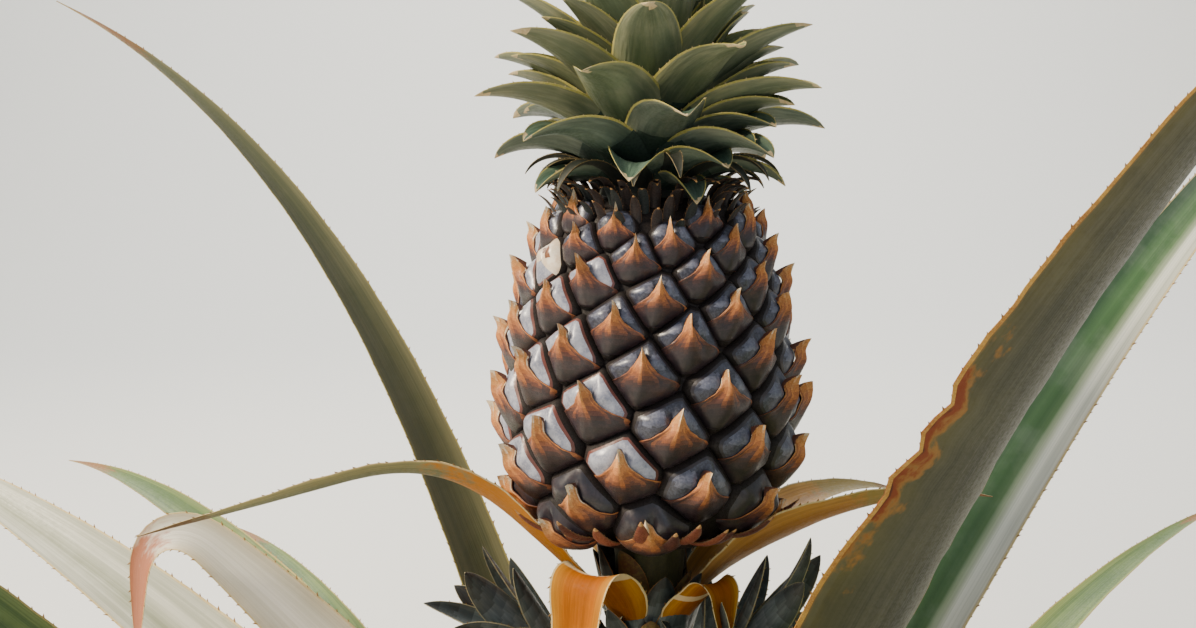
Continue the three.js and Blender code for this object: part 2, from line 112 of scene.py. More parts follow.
def mound(value: Array, middle: float, half: float) -> Array:
    """Give a soft mound of height 1 round a middle, down to a third at half a width."""
    return np.exp(-((value - middle) / half) ** 2)


def scatter(index: int, salt: float = 0.0) -> float:
    """Deal out a repeatable value between 0 and 1 by number; a salt gives other ones."""
    raw = sin(index * 12.9898 + salt * 78.233) * 43758.5453
    return raw - math.floor(raw)


def rgba(code: str) -> tuple[float, float, float, float]:
    """Turn a hex colour into the linear red, green, blue and alpha of 1 that a shader takes."""
    parts = [int(code[place:place + 2], 16) / 255.0 for place in (0, 2, 4)]
    return (*(c / 12.92 if c <= 0.04045 else ((c + 0.055) / 1.055) ** 2.4 for c in parts), 1.0)


def mixed(first: str, second: str, share: float) -> str:
    """Mix two hex colours by the share of the second."""
    pairs = [(int(first[p:p + 2], 16), int(second[p:p + 2], 16)) for p in (0, 2, 4)]
    return "".join(f"{round(a + (b - a) * share):02x}" for a, b in pairs)


def read_curve(curve: tuple, place: Array) -> Array:
    """Read a curve of straight stretches, given as pairs of place and value."""
    places, values = zip(*curve)
    return np.interp(place, places, values)


def radius_at(profile: tuple, height: Array | float) -> Array | float:
    """Read a limb's radius at a height from its pairs of radius and height."""
    radii, heights = zip(*profile)
    return np.interp(height, heights, radii)


def turned(turn: Array | float, radius: Array | float, height: Array | float) -> Array:
    """Place points in metres by angles, and by radii and heights in millimetres."""
    return np.stack([radius * np.cos(turn), radius * np.sin(turn), height], axis=-1) * MM


def limb_grid(foot: float, top: float, rows: int, around: int) -> tuple[Array, Array]:
    """Give the heights and the angles in radians of rows of places round a limb."""
    turns = np.linspace(0.0, FULL_TURN, around, endpoint=False)
    return np.meshgrid(np.linspace(foot, top, rows), turns, indexing="ij")


def blade_coords(across: Array, along: Array, number: int) -> Array:
    """Give the blade coordinates round a blade, over its upper face and back under it.

    Args:
        across: Places across the blade from -1 to 1.
        along: Shares of its length.
        number: The blade's number, which goes before the decimal point of the first coordinate.

    Returns:
        The coordinates, by row and by place round the blade.
    """
    place = 0.02 + 0.96 * (across + 1.0) / 2.0 + number
    coord = np.stack(np.broadcast_arrays(place, along), axis=-1)
    return np.concatenate([coord, coord[:, ::-1]], axis=1)


@dataclass
class MeshDraft:
    """The points, faces, slots and blade coordinates gathered for one mesh."""

    points: list = field(default_factory=list)
    coords: list = field(default_factory=list)
    faces: list = field(default_factory=list)
    slots: list = field(default_factory=list)
    count: int = 0

    def add(self, points: Array, faces: list, slots: list, coords: Array) -> None:
        """Add loose points and faces.

        Args:
            points: Rows of x, y and z in metres.
            faces: Tuples of indices into these points.
            slots: The material slot of each face.
            coords: The blade coordinate of each point.
        """
        start = self.count
        self.points.append(points)
        self.coords.append(coords)
        self.faces.extend(tuple(int(i) + start for i in face) for face in faces)
        self.slots.extend(int(slot) for slot in slots)
        self.count += len(points)

    def add_rings(self, rings: Array, slots: Array | int, coords: Array,
                  caps: bool = False) -> None:
        """Add a skin over closed rows of points, facing outward.

        Args:
            rings: An array of rows, points along each row, and x, y, z.
            slots: The slot of each face, by row and by place in the row.
            coords: The blade coordinates, by row and by place in the row.
            caps: Whether the first and last rows are filled.
        """
        rows, places = rings.shape[:2]
        here = np.arange(rows * places).reshape(rows, places)
        after = np.roll(here, -1, axis=1)
        quads = np.stack([here[:-1], here[1:], after[1:], after[:-1]], axis=-1).reshape(-1, 4)
        face_list = quads.tolist()
        slot_list = np.broadcast_to(slots, (rows - 1, places)).ravel().tolist()
        if caps:
            face_list += [here[0].tolist(), here[-1][::-1].tolist()]
            slot_list += [slot_list[0], slot_list[-1]]
        self.add(rings.reshape(-1, 3), face_list, slot_list, coords.reshape(-1, 2))

    def add_limb(self, tall: Array, turn: Array, radius: Array, length: float,
                 slot: int = 0) -> None:
        """Add the capped skin of a limb, with blade coordinates over its length."""
        coords = np.stack([turn / FULL_TURN, (tall - tall[0, 0]) / length], axis=-1)
        self.add_rings(turned(turn, radius, tall)[:, ::-1], slot, coords[:, ::-1], caps=True)

    def absorb(self, other: "MeshDraft", turn: Array, shift: Array) -> None:
        """Add another draft's mesh, turned by a rotation and moved to a place."""
        points = np.concatenate(other.points) @ turn.T + shift
        self.add(points, other.faces, other.slots, np.concatenate(other.coords))

    def build(self, name: str, materials: list, nodes: list[str], slot: str) -> None:
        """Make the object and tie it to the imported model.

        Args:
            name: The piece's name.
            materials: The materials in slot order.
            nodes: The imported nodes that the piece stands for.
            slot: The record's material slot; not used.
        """
        mesh = bpy.data.meshes.new(name)
        mesh.from_pydata(np.concatenate(self.points).tolist(), [], self.faces)
        for material in materials:
            mesh.materials.append(material)
        mesh.polygons.foreach_set("material_index", np.array(self.slots, dtype=np.int32))
        mesh.polygons.foreach_set("use_smooth", np.ones(len(self.slots), dtype=bool))
        layer = mesh.uv_layers.new(name=BLADE_MAP)
        corner = np.empty(len(mesh.loops), dtype=np.int32)
        mesh.loops.foreach_get("vertex_index", corner)
        layer.data.foreach_set("uv", np.concatenate(self.coords)[corner].ravel())
        mesh.set_sharp_from_angle(angle=radians(SHARP_EDGE))
        mesh.update()
        piece = bpy.data.objects.new(name, mesh)
        bpy.context.collection.objects.link(piece)
        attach(piece, BODY)
        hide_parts(*nodes)
        LOG.info("%s: %d faces for %s", name, len(self.faces), ", ".join(nodes))


class Outline(Enum):
    """The two outlines that leaves of this plant have."""

    STRAP = "strap"
    LANCE = "lance"


@dataclass(frozen=True)
class Midrib:
    """The points and directions that a leaf's midrib runs through."""

    share: Array
    point: Array
    along: Array
    side: Array
    up: Array


@dataclass(frozen=True)
class Fold:
    """A fold across a leaf: its place, its angle in degrees and the share of length it takes."""

    at: float
    angle: float
    over: float


@dataclass(frozen=True)
class Tear:
    """A torn stretch of a leaf's left margin, in shares of its length and of its half width."""

    at: float
    half: float
    depth: float
    grain: float = 3.2
    unevenness: float = 0.45

    def bite(self, share: Array, run: Array, seed: float) -> Array:
        """Give how much of the half width is gone, by share and by run in millimetres."""
        gone = self.depth * smooth(2.0 - 2.0 * np.abs(share - self.at) / self.half)
        return gone * (1.0 - self.unevenness + self.unevenness * wave(run / self.grain, seed + 9.0))

    def covers(self, share: Array) -> Array:
        """Tell which shares of the leaf's length lie in the torn stretch."""
        return np.abs(share - self.at) < self.half


@dataclass(frozen=True)
class LeafShape:
    """The named sizes of one leaf, in millimetres and degrees, as in the solids."""

    azimuth: float
    rise: float
    droop: float
    length: float
    width: float
    seat: float = 0.0
    bend: float = 1.0
    sweep: float = 0.0
    twist: float = 0.0
    channel: float = 0.55
    seat_share: float = 1.12
    fold: Fold | None = None
    outline: Outline = Outline.STRAP
    split: float = 1.0
    torn: Tear | None = None

    def width_at(self, share: Array) -> Array:
        """Give the blade's width at shares of its length.

        Args:
            share: The shares, from 0 at the seat to 1 at the tip.

        Returns:
            The widths in millimetres.
        """
        if self.outline is Outline.LANCE:
            rest = np.clip(1.0 - share ** LANCE_TAPER, 0.0, 1.0)
            return self.width * (1.0 + LANCE_SWELL * share) * rest ** LANCE_BLUNTNESS
        over = CLASP_REACH if self.seat_share > 1.0 else WAIST_REACH
        clasp = 1.0 + (self.seat_share - 1.0) * np.clip(1.0 - share / over, 0.0, 1.0) ** 2
        return self.width * clasp * np.clip(1.0 - share ** STRAP_TAPER, 0.0, 1.0)

    def midrib(self, seat: Array, steps: int) -> Midrib:
        """Follow the midrib from its seat by the rule of the solids.

        Args:
            seat: Where the midrib starts, in metres.
            steps: How many steps the rule takes.

        Returns:
            The midrib's points and directions.
        """
        share = np.linspace(0.0, 1.0, steps + 1)
        rise = self.rise - self.droop * share ** self.bend
        if self.fold:
            folded = smooth((share - self.fold.at) / self.fold.over + 0.5)
            rise = rise - self.fold.angle * folded
        rise = np.radians(rise)
        heading = np.radians(self.azimuth + self.sweep * share)
        level = np.cos(rise)
        along = np.stack([level * np.cos(heading), level * np.sin(heading), np.sin(rise)], axis=1)
        moves = (along[1:] + along[:-1]) * (self.length * MM / steps / 2.0)
        point = seat + np.vstack([np.zeros(3), np.cumsum(moves, axis=0)])
        side = np.stack([-np.sin(heading), np.cos(heading), np.zeros_like(heading)], axis=1)
        up = np.cross(along, side)
        twist = np.radians(self.twist) * smooth(share / TWIST_REACH)
        turned_side = side * np.cos(twist)[:, None] + up * np.sin(twist)[:, None]
        turned_up = up * np.cos(twist)[:, None] - side * np.sin(twist)[:, None]
        return Midrib(share, point, along, turned_side, turned_up)

    def seat_on(self, profile: tuple) -> Array:
        """Find the seat from which the first stretch of the leaf just clears its limb.

        Args:
            profile: The limb's pairs of radius and height in millimetres.

        Returns:
            The seat in metres.
        """
        heading = radians(self.azimuth)
        outward = np.array([cos(heading), sin(heading), 0.0])
        sideways = np.array([-sin(heading), cos(heading), 0.0])
        rib = self.midrib(np.array([0.0, 0.0, self.seat * MM]), RULE_STEPS)
        rows = slice(0, SEAT_STEPS)
        width = self.width_at(rib.share[rows])[:, None, None] * MM
        across = np.linspace(-1.0, 1.0, SEAT_COLUMNS)[None, :, None] * self.channel
        curve = width / 2.0 / self.channel
        face = (rib.point[rows, None] + rib.side[rows, None] * curve * np.sin(across)
                + rib.up[rows, None] * curve * (1.0 - np.cos(across))).reshape(-1, 3) / MM
        limb = radius_at(profile, face[:, 2]) + CLEARANCE + SEAT_MARGIN
        beside = face @ sideways
        near = (face[:, 2] < profile[-1][1]) & (np.abs(beside) < limb)
        reach = np.sqrt(np.maximum(limb ** 2 - beside ** 2, 0.0)) - face @ outward
        radius = float(reach[near].max()) if near.any() else 0.0
        return (outward * max(radius, 0.0) + np.array([0.0, 0.0, self.seat])) * MM


@dataclass(frozen=True)
class BladeSlots:
    """Which material slot each part of a blade takes, and where its end parts begin."""

    upper: int = 0
    lower: int = 1
    margin: int = 2
    spine: int = 3
    tip: int = 2
    tip_from: float = 2.0
    # The root slot, and the share of the length that it reaches, hold painted shade at a blade's
    # foot.
    root: int = 0
    shaded_root_to: float = 0.0
    ragged: float = 0.0
    ladder: tuple[int, ...] = ()
    scar: int = 2


@dataclass(frozen=True)
class BladeBuild:
    """How finely a blade is meshed, how thick it is and how its margins are armed."""

    rows: int = 60
    columns: int = 12
    thickness: float = 1.9
    edge: float = 0.3
    margin: float = 0.055
    ripple: float = 0.014
    spine_every: float = 5.2
    spine_length: float = 2.3
    narrowest: float = 0.5
    thinner_at_tip: float = 0.65
    thick_for_width: float = 0.3
    first_spine: float = 0.02
    last_spine: float = 0.97
    sunk: float = 2.5

    def add_to(self, draft: MeshDraft, shape: LeafShape, seat: Array, seed: int,
               slots: BladeSlots) -> None:
        """Add one channelled blade with its armed margins.

        Args:
            draft: The mesh that takes the blade.
            shape: The leaf's sizes.
            seat: Where its midrib starts, in metres.
            seed: The leaf's number, for its small unevenness.
            slots: The material slots of its parts.
        """
        rib = shape.midrib(seat, self.rows)
        share = rib.share[:, None]
        run = share * shape.length
        inner = np.linspace(-1.0 + self.margin, 1.0 - self.margin, self.columns - 1)
        across = np.concatenate([[-1.0], inner, [1.0]])[None, :]
        width = np.maximum(shape.width_at(rib.share), self.narrowest)[:, None] * MM
        reach = across
        if shape.torn:
            bitten = across * (1.0 - shape.torn.bite(share, run, seed))
            reach = np.where(across < 0.0, bitten, across)
        angle = shape.channel * reach
        curve = width / 2.0 / shape.channel
        swell = width * self.ripple * np.abs(across) ** 3 * smooth(share * 5.0)
        uneven = np.where(across < 0.0, wave(run / 8.0, seed), wave(run / 9.3, seed + 5.0))
        lift = curve * (1.0 - np.cos(angle)) + swell * uneven
        side, up = rib.side[:, None], rib.up[:, None]
        beside = side * (curve * np.sin(angle))[..., None]
        middle = rib.point[:, None] + beside + up * lift[..., None]
        normal = up * np.cos(angle)[..., None] - side * np.sin(angle)[..., None]
        taper = 1.0 - (1.0 - self.edge) * across ** 2
        half = (self.thickness * MM / 2.0) * taper * (1.0 - self.thinner_at_tip * share)
        half = np.minimum(half, width * self.thick_for_width)[..., None]
        rings = np.concatenate([middle + normal * half, (middle - normal * half)[:, ::-1]], axis=1)
        dealt = self.deal_slots(shape, rib.share[:-1], seed, slots)
        draft.add_rings(rings, dealt, blade_coords(across, share, seed), caps=True)
        for sign, column in ((-1.0, 0), (1.0, self.columns)):
            self.add_spines(draft, shape, rib, middle[:, column], sign, seed, slots.spine)

    def add_round(self, draft: MeshDraft, shape: LeafShape, core: tuple, seed: int,
                  slots: BladeSlots) -> None:
        """Add one blade with its foot sunk into an upright core."""
        out = radius_at(core, shape.seat) - self.sunk
        self.add_to(draft, shape, turned(radians(shape.azimuth), out, shape.seat), seed, slots)

    def deal_slots(self, shape: LeafShape, share: Array, seed: int, slots: BladeSlots) -> Array:
        """Deal the material slots out over a blade's faces.

        Args:
            shape: The leaf's sizes.
            share: The share of its length at each row of faces.
            seed: The leaf's number.
            slots: The material slots of its parts.

        Returns:
            The slots, by row and by place round the blade.
        """
        places = 2 * (self.columns + 1)
        dealt = np.full((self.rows, places), slots.upper)
        dealt[:, self.columns + 1:] = slots.lower
        uneven_end = slots.ragged * wave(np.arange(places) * 0.9, seed)
        reached = share[:, None] + uneven_end[None, :]
        if slots.ladder:
            step = np.clip(reached * len(slots.ladder), 0, len(slots.ladder) - 1).astype(int)
            dealt = np.asarray(slots.ladder)[step]
        for edge in (0, self.columns - 1, self.columns, self.columns + 1, -2, -1):
            dealt[:, edge] = slots.margin
        if shape.torn:
            for edge in (0, -1):
                dealt[shape.torn.covers(share), edge] = slots.scar
        dealt[reached >= slots.tip_from] = slots.tip
        # The blade's foot takes the root slot, which holds painted shade on the crown's leaves.
        dealt[reached < slots.shaded_root_to] = slots.root
        return dealt

    def add_spines(self, draft: MeshDraft, shape: LeafShape, rib: Midrib, margin: Array,
                   sign: float, seed: int, slot: int) -> None:
        """Arm one margin with small forward-leaning spines.

        Args:
            draft: The mesh that takes the spines.
            shape: The leaf's sizes.
            rib: The leaf's midrib.
            margin: The points of the margin.
            sign: Which margin it is.
            seed: The leaf's number.
            slot: The material slot.
        """
        number = int(shape.length * 0.93 / self.spine_every)
        order = np.arange(number)
        shares = (order + 0.5 + 0.3 * wave(order * 1.9, seed + sign)) * self.spine_every
        shares = shares / shape.length + self.first_spine
        shares = np.clip(shares, self.first_spine, self.last_spine)

        def read(rows: Array) -> Array:
            """Read rows of vectors at the spines' shares."""
            return np.stack([np.interp(shares, rib.share, rows[:, k]) for k in range(3)], axis=1)

        foot, along, up = read(margin), read(rib.along), read(rib.up)
        outward = read(rib.side) * sign * cos(shape.channel) + up * sin(shape.channel)
        size = self.spine_length * MM * (0.75 + 0.35 * wave(order * 2.7, seed))
        size = (size * np.minimum(1.0, 6.0 * shares) * (1.0 - 0.45 * shares))[:, None]
        inner = foot - outward * size * 0.25
        corners = np.stack([
            inner - along * size * 0.55, inner + along * size * 0.55, inner + up * size * 0.28,
            foot + outward * size * 0.75 + along * size * 0.85,
        ], axis=1)
        base = (order * 4)[:, None]
        faces = np.concatenate([base + [0, 1, 3], base + [1, 2, 3], base + [2, 0, 3]])
        coord = np.stack([np.full(number * 4, seed + 0.5), np.repeat(shares, 4)], axis=1)
        draft.add(corners.reshape(-1, 3), faces.tolist(), [slot] * len(faces), coord)


@dataclass(frozen=True)
class Touch:
    """A colour laid over another one, and how strongly."""

    colour: str
    strength: float


class NodeBoard:
    """Places and links the nodes of one shader tree."""

    def __init__(self, tree: NodeTree) -> None:
        """Keep the tree that the nodes go into."""
        self.tree = tree

    def feed(self, socket: Socket, value: object) -> None:
        """Link a socket to another, or set its value.

        Args:
            socket: The input socket.
            value: An output socket, or a plain value.
        """
        if isinstance(value, Socket):
            self.tree.links.new(value, socket)
        else:
            socket.default_value = value

    def add(self, kind: str, settings: dict | None = None, **values: object) -> Node:
        """Add a node.

        Args:
            kind: The node's type name.
            settings: Its own settings.
            **values: Values or sockets for its inputs, by name with _ for a space.

        Returns:
            The new node.
        """
        node = self.tree.nodes.new(kind)
        for name, value in (settings or {}).items():
            setattr(node, name, value)
        for name, value in values.items():
            self.feed(node.inputs[name.replace("_", " ")], value)
        return node

    def maths(self, operation: str, first: object, second: object = 0.0) -> Socket:
        """Add a maths node.

        Args:
            operation: The operation's name.
            first: Its first value or socket.
            second: Its second value or socket, where it has one.

        Returns:
            The socket of its result.
        """
        node = self.add("ShaderNodeMath", {"operation": operation})
        self.feed(node.inputs[0], first)
        self.feed(node.inputs[1], second)
        return node.outputs[0]

    def touch(self, under: object, mask: object, touch: Touch) -> Socket:
        """Lay a touch of colour over another colour.

        Args:
            under: The colour below.
            mask: Where the touch shows, from 0 to 1.
            touch: The colour and how strong it is where the mask is 1.

        Returns:
            The socket of the mixed colour.
        """
        factor = self.maths("MULTIPLY", mask, touch.strength)
        node = self.add("ShaderNodeMix", {"data_type": "RGBA"})
        for place, value in ((0, factor), (6, under), (7, rgba(touch.colour))):
            self.feed(node.inputs[place], value)
        return node.outputs[2]

    def spread(self, value: object, low: float, high: float) -> Socket:
        """Stretch a range of values smoothly over 0 to 1.

        Args:
            value: The value to stretch.
            low: What becomes 0.
            high: What becomes 1.

        Returns:
            The socket of the stretched value.
        """
        node = self.add("ShaderNodeMapRange", {"interpolation_type": "SMOOTHSTEP"})
        for place, item in enumerate((value, low, high)):
            self.feed(node.inputs[place], item)
        return node.outputs[0]

    def noise(self, vector: object, scale: object, detail: float,
              roughness: float = 0.55) -> Socket:
        """Add a noise texture and give the socket of its value."""
        return self.add("ShaderNodeTexNoise", Vector=vector, Scale=scale, Detail=detail,
                        Roughness=roughness).outputs[0]

    def vector(self, x: object, y: object, z: object) -> Socket:
        """Put three values together as a vector."""
        return self.add("ShaderNodeCombineXYZ", X=x, Y=y, Z=z).outputs[0]

    def ramp(self, factor: object, stops: tuple) -> Socket:
        """Read a colour from stops.

        Args:
            factor: Where the ramp is read.
            stops: Pairs of place and hex colour.

        Returns:
            The colour socket.
        """
        node = self.add("ShaderNodeValToRGB", Fac=factor)
        while len(node.color_ramp.elements) < len(stops):
            node.color_ramp.elements.new(1.0)
        for element, (place, code) in zip(node.color_ramp.elements, stops):
            element.position = place
            element.color = rgba(code)
        return node.outputs[0]

    def group(self, tree: NodeTree, **values: object) -> Node:
        """Place a node group with values or sockets for its inputs."""
        return self.add("ShaderNodeGroup", {"node_tree": tree}, **values)


class SharedEffects:
    """The node groups that several finishes use, each built once."""

    def __init__(self) -> None:
        """Build all the groups."""
        self.coords = self.make_coords()
        self.streaks = self.make_streaks()
        self.zone = self.make_zone()
        self.mottle = self.make_mottle()

    @staticmethod
    def start(name: str, inputs: dict, outputs: tuple) -> tuple:
        """Start a group.

        Args:
            name: The group's name.
            inputs: Input names and their values; None stands for a vector.
            outputs: Names of the values that it puts out.

        Returns:
            The tree, its board, its input node and its output node.
        """
        tree = bpy.data.node_groups.new(name, "ShaderNodeTree")
        for label, value in inputs.items():
            kind = "NodeSocketVector" if value is None else "NodeSocketFloat"
            socket = tree.interface.new_socket(label, in_out="INPUT", socket_type=kind)
            if value is not None:
                socket.default_value = value
        for label in outputs:
            tree.interface.new_socket(label, in_out="OUTPUT", socket_type="NodeSocketFloat")
        board = NodeBoard(tree)
        return tree, board, tree.nodes.new("NodeGroupInput"), tree.nodes.new("NodeGroupOutput")

    def make_coords(self) -> NodeTree:
        """Split the blade map into the place across, the place along and the leaf's number.

        Returns:
            The group's tree.
        """
        tree, board, inside, outside = self.start(
            "BladeCoordinates", {"Vector": None}, ("Across", "Along", "Number"))
        split = board.add("ShaderNodeSeparateXYZ", Vector=inside.outputs[0])
        board.feed(outside.inputs[0], board.maths("FRACT", split.outputs[0]))
        board.feed(outside.inputs[1], split.outputs[1])
        board.feed(outside.inputs[2], board.maths("FLOOR", split.outputs[0]))
        return tree

    def make_streaks(self) -> NodeTree:
        """Make fine lengthwise streaks: a broad mask, a fine mask and a height.

        Returns:
            The group's tree.
        """
        tree, board, inside, outside = self.start(
            "BladeStreaks", {"Across": 0.5, "Along": 0.5, "Number": 0.0, "Lines": 40.0},
            ("Broad", "Fine", "Height"))
        across, along, number, lines = inside.outputs[:4]
        shift = board.maths("MULTIPLY", number, 7.31)
        wide = board.vector(board.maths("MULTIPLY", across, board.maths("MULTIPLY", lines, 0.22)),
                            board.maths("MULTIPLY", along, 2.2), shift)
        fine = board.vector(board.maths("MULTIPLY", across, lines),
                            board.maths("MULTIPLY", along, 5.0), shift)
        broad_noise = board.noise(wide, 1.0, 3.0)
        fine_noise = board.noise(fine, 1.0, 2.0)
        board.feed(outside.inputs[0], board.spread(broad_noise, 0.38, 0.66))
        board.feed(outside.inputs[1], board.spread(fine_noise, 0.4, 0.62))
        board.feed(outside.inputs[2], fine_noise)
        return tree

    def make_zone(self) -> NodeTree:
        """Make the mask of a patch of a blade, with a ragged edge.

        Returns:
            The group's tree.
        """
        inputs = {"Across": 0.5, "Along": 0.5, "Number": 0.0, "At Across": 0.5,
                  "Half Across": 1.0, "At Along": 1.0, "Half Along": 0.1, "Ragged": 0.3}
        tree, board, inside, outside = self.start("BladeZone", inputs, ("Mask",))
        value = {socket.name: socket for socket in inside.outputs}
        off_across, off_along = (
            board.maths("DIVIDE", board.maths("ABSOLUTE", board.maths(
                "SUBTRACT", value[way], value[f"At {way}"])), value[f"Half {way}"])
            for way in ("Across", "Along"))
        spot = board.vector(board.maths("MULTIPLY", value["Across"], 6.0),
                            board.maths("MULTIPLY", value["Along"], 38.0),
                            board.maths("MULTIPLY", value["Number"], 3.7))
        rough = board.maths("MULTIPLY", board.maths(
            "SUBTRACT", board.noise(spot, 1.0, 4.0, 0.6), 0.5), value["Ragged"])
        off = board.maths("ADD", board.maths("MAXIMUM", off_across, off_along),
                          board.maths("MULTIPLY", rough, 2.0))
        board.feed(outside.inputs[0], board.spread(off, 1.08, 0.72))
        return tree

    def make_mottle(self) -> NodeTree:
        """Make cloudy and grainy unevenness in space: a cloud mask, a grain mask and a height.

        Returns:
            The group's tree.
        """
        tree, board, inside, outside = self.start(
            "Mottle", {"Vector": None, "Cloud": 60.0, "Grain": 900.0},
            ("Cloud", "Grain", "Height"))
        vector, cloud, grain = inside.outputs[:3]
        cloud_noise = board.noise(vector, cloud, 4.0, 0.6)
        grain_noise = board.noise(vector, grain, 2.0, 0.6)
        board.feed(outside.inputs[0], board.spread(cloud_noise, 0.38, 0.64))
        board.feed(outside.inputs[1], board.spread(grain_noise, 0.42, 0.64))
        height = board.maths("ADD", board.maths("MULTIPLY", cloud_noise, 0.6),
                             board.maths("MULTIPLY", grain_noise, 0.4))
        board.feed(outside.inputs[2], height)
        return tree


def start_material(name: str, roughness: float, specular: float) -> tuple:
    """Start a material.

    Args:
        name: The material's name.
        roughness: Its plain roughness.
        specular: Its specular level.

    Returns:
        The material, its board and its Principled shader.
    """
    material = bpy.data.materials.new(name)
    material.use_nodes = True
    shader = material.node_tree.nodes["Principled BSDF"]
    shader.inputs["Roughness"].default_value = roughness
    shader.inputs["Specular IOR Level"].default_value = specular
    return material, NodeBoard(material.node_tree), shader


@dataclass(frozen=True)
class Zone:
    """A patch of another colour on a blade, placed in shares of its length and width."""

    colour: str
    along: float
    half_along: float
    strength: float = 1.0
    across: float = 0.5
    half_across: float = 2.0
    ragged: float = 0.35


DRY_TIP = Zone("8a5f35", 1.0, 0.1, 0.9, ragged=0.5)


@dataclass(frozen=True)
class BladeFinish:
    """The finish of one face of a leaf."""

    name: str
    across: tuple
    streak: Touch
    cloud: Touch
    variant: Touch
    zones: tuple = (DRY_TIP,)
    lines: float = 46.0
    roughness: float = 0.5
    specular: float = 0.4
    bump: float = 0.35
    cloud_scale: float = 38.0
    grain_scale: float = 700.0
    uneven_sheen: float = 0.16
    streak_height: float = 0.0006

    def material(self, shared: SharedEffects) -> Material:
        """Build the finish.

        Args:
            shared: The shared node groups.

        Returns:
            The material.
        """
        material, board, shader = start_material(self.name, self.roughness, self.specular)
        blade_map = board.add("ShaderNodeUVMap", {"uv_map": BLADE_MAP})
        split = board.group(shared.coords, Vector=blade_map.outputs[0])
        across, along, number = split.outputs[:3]
        lines = board.group(shared.streaks, Across=across, Along=along, Number=number,
                            Lines=self.lines)
        place = board.add("ShaderNodeTexCoord").outputs["Object"]
        spots = board.group(shared.mottle, Vector=place, Cloud=self.cloud_scale,
                            Grain=self.grain_scale)
        colour = board.ramp(across, self.across)
        dealt = board.add("ShaderNodeTexWhiteNoise", {"noise_dimensions": "1D"}, W=number)
        colour = board.touch(colour, dealt.outputs[0], self.variant)
        colour = board.touch(colour, spots.outputs[0], self.cloud)
        colour = board.touch(colour, lines.outputs[0], self.streak)
        fine = replace(self.streak, strength=self.streak.strength * 0.5)
        colour = board.touch(colour, lines.outputs[1], fine)
        for zone in self.zones:
            mask = board.group(
                shared.zone, Across=across, Along=along, Number=number,
                At_Across=zone.across, Half_Across=zone.half_across, At_Along=zone.along,
                Half_Along=zone.half_along, Ragged=zone.ragged).outputs[0]
            colour = board.touch(colour, mask, Touch(zone.colour, zone.strength))
        board.feed(shader.inputs["Base Color"], colour)
        uneven = board.maths("MULTIPLY", spots.outputs[1], self.uneven_sheen)
        board.feed(shader.inputs["Roughness"], board.maths("ADD", uneven, self.roughness - 0.06))
        bump = board.add("ShaderNodeBump", Strength=self.bump, Distance=self.streak_height,
                         Height=lines.outputs[2])
        board.feed(shader.inputs["Normal"], bump.outputs[0])
        return material


@dataclass(frozen=True)
class SkinFinish:
    """A finish with no place on the piece: a colour with clouds and grain of two others."""

    name: str
    base: str
    cloud: str
    grain: str
    cloud_strength: float = 0.5
    grain_strength: float = 0.35
    cloud_scale: float = 120.0
    grain_scale: float = 1400.0
    roughness: float = 0.5
    specular: float = 0.4
    coat: float = 0.0
    bump: float = 0.3
    coat_roughness: float = 0.25
    uneven_sheen: float = 0.2
    grain_height: float = 0.0004

    def material(self, shared: SharedEffects) -> Material:
        """Build the finish.

        Args:
            shared: The shared node groups.

        Returns:
            The material.
        """
        material, board, shader = start_material(self.name, self.roughness, self.specular)
        place = board.add("ShaderNodeTexCoord").outputs["Object"]
        spots = board.group(shared.mottle, Vector=place, Cloud=self.cloud_scale,
                            Grain=self.grain_scale)
        colour = board.touch(rgba(self.base), spots.outputs[0],
                             Touch(self.cloud, self.cloud_strength))
        colour = board.touch(colour, spots.outputs[1], Touch(self.grain, self.grain_strength))
        board.feed(shader.inputs["Base Color"], colour)
        uneven = board.maths("MULTIPLY", spots.outputs[1], self.uneven_sheen)
        board.feed(shader.inputs["Roughness"], board.maths("ADD", uneven, self.roughness - 0.08))
        shader.inputs["Coat Weight"].default_value = self.coat
        shader.inputs["Coat Roughness"].default_value = self.coat_roughness
        bump = board.add("ShaderNodeBump", Strength=self.bump, Distance=self.grain_height,
                         Height=spots.outputs[2])
        board.feed(shader.inputs["Normal"], bump.outputs[0])
        return material


class LeafKind(Enum):
    """The leaf finishes that this plant's long leaves have."""

    GREEN = "green"
    OLIVE = "olive"
    SILVER = "silver"
    SUN_BANDED = "banded"
    SHADED_OLIVE_BACK = "olive_back"
    PEACH = "peach"
    DUSKY = "dusky"
    YELLOWING = "yellowing"
    AMBER = "amber"
    CREAM = "cream"
    FOLDED = "folded"
    DRY = "dry"


PALE_BASE = Zone("b9b285", 0.0, 0.12, 0.6)


def evenly(*codes: str) -> tuple:
    """Spread colours evenly across a blade."""
    return tuple((place / (len(codes) - 1), code) for place, code in enumerate(codes))


def underside(name: str, colours: tuple, cloud: str, variant: str) -> BladeFinish:
    """Give the pale matt finish that most leaves have below."""
    return BladeFinish(
        name, colours, streak=Touch("d8d6c2", 0.55), cloud=Touch(cloud, 0.25),
        variant=Touch(variant, 0.3), lines=60.0, roughness=0.6, specular=0.25)


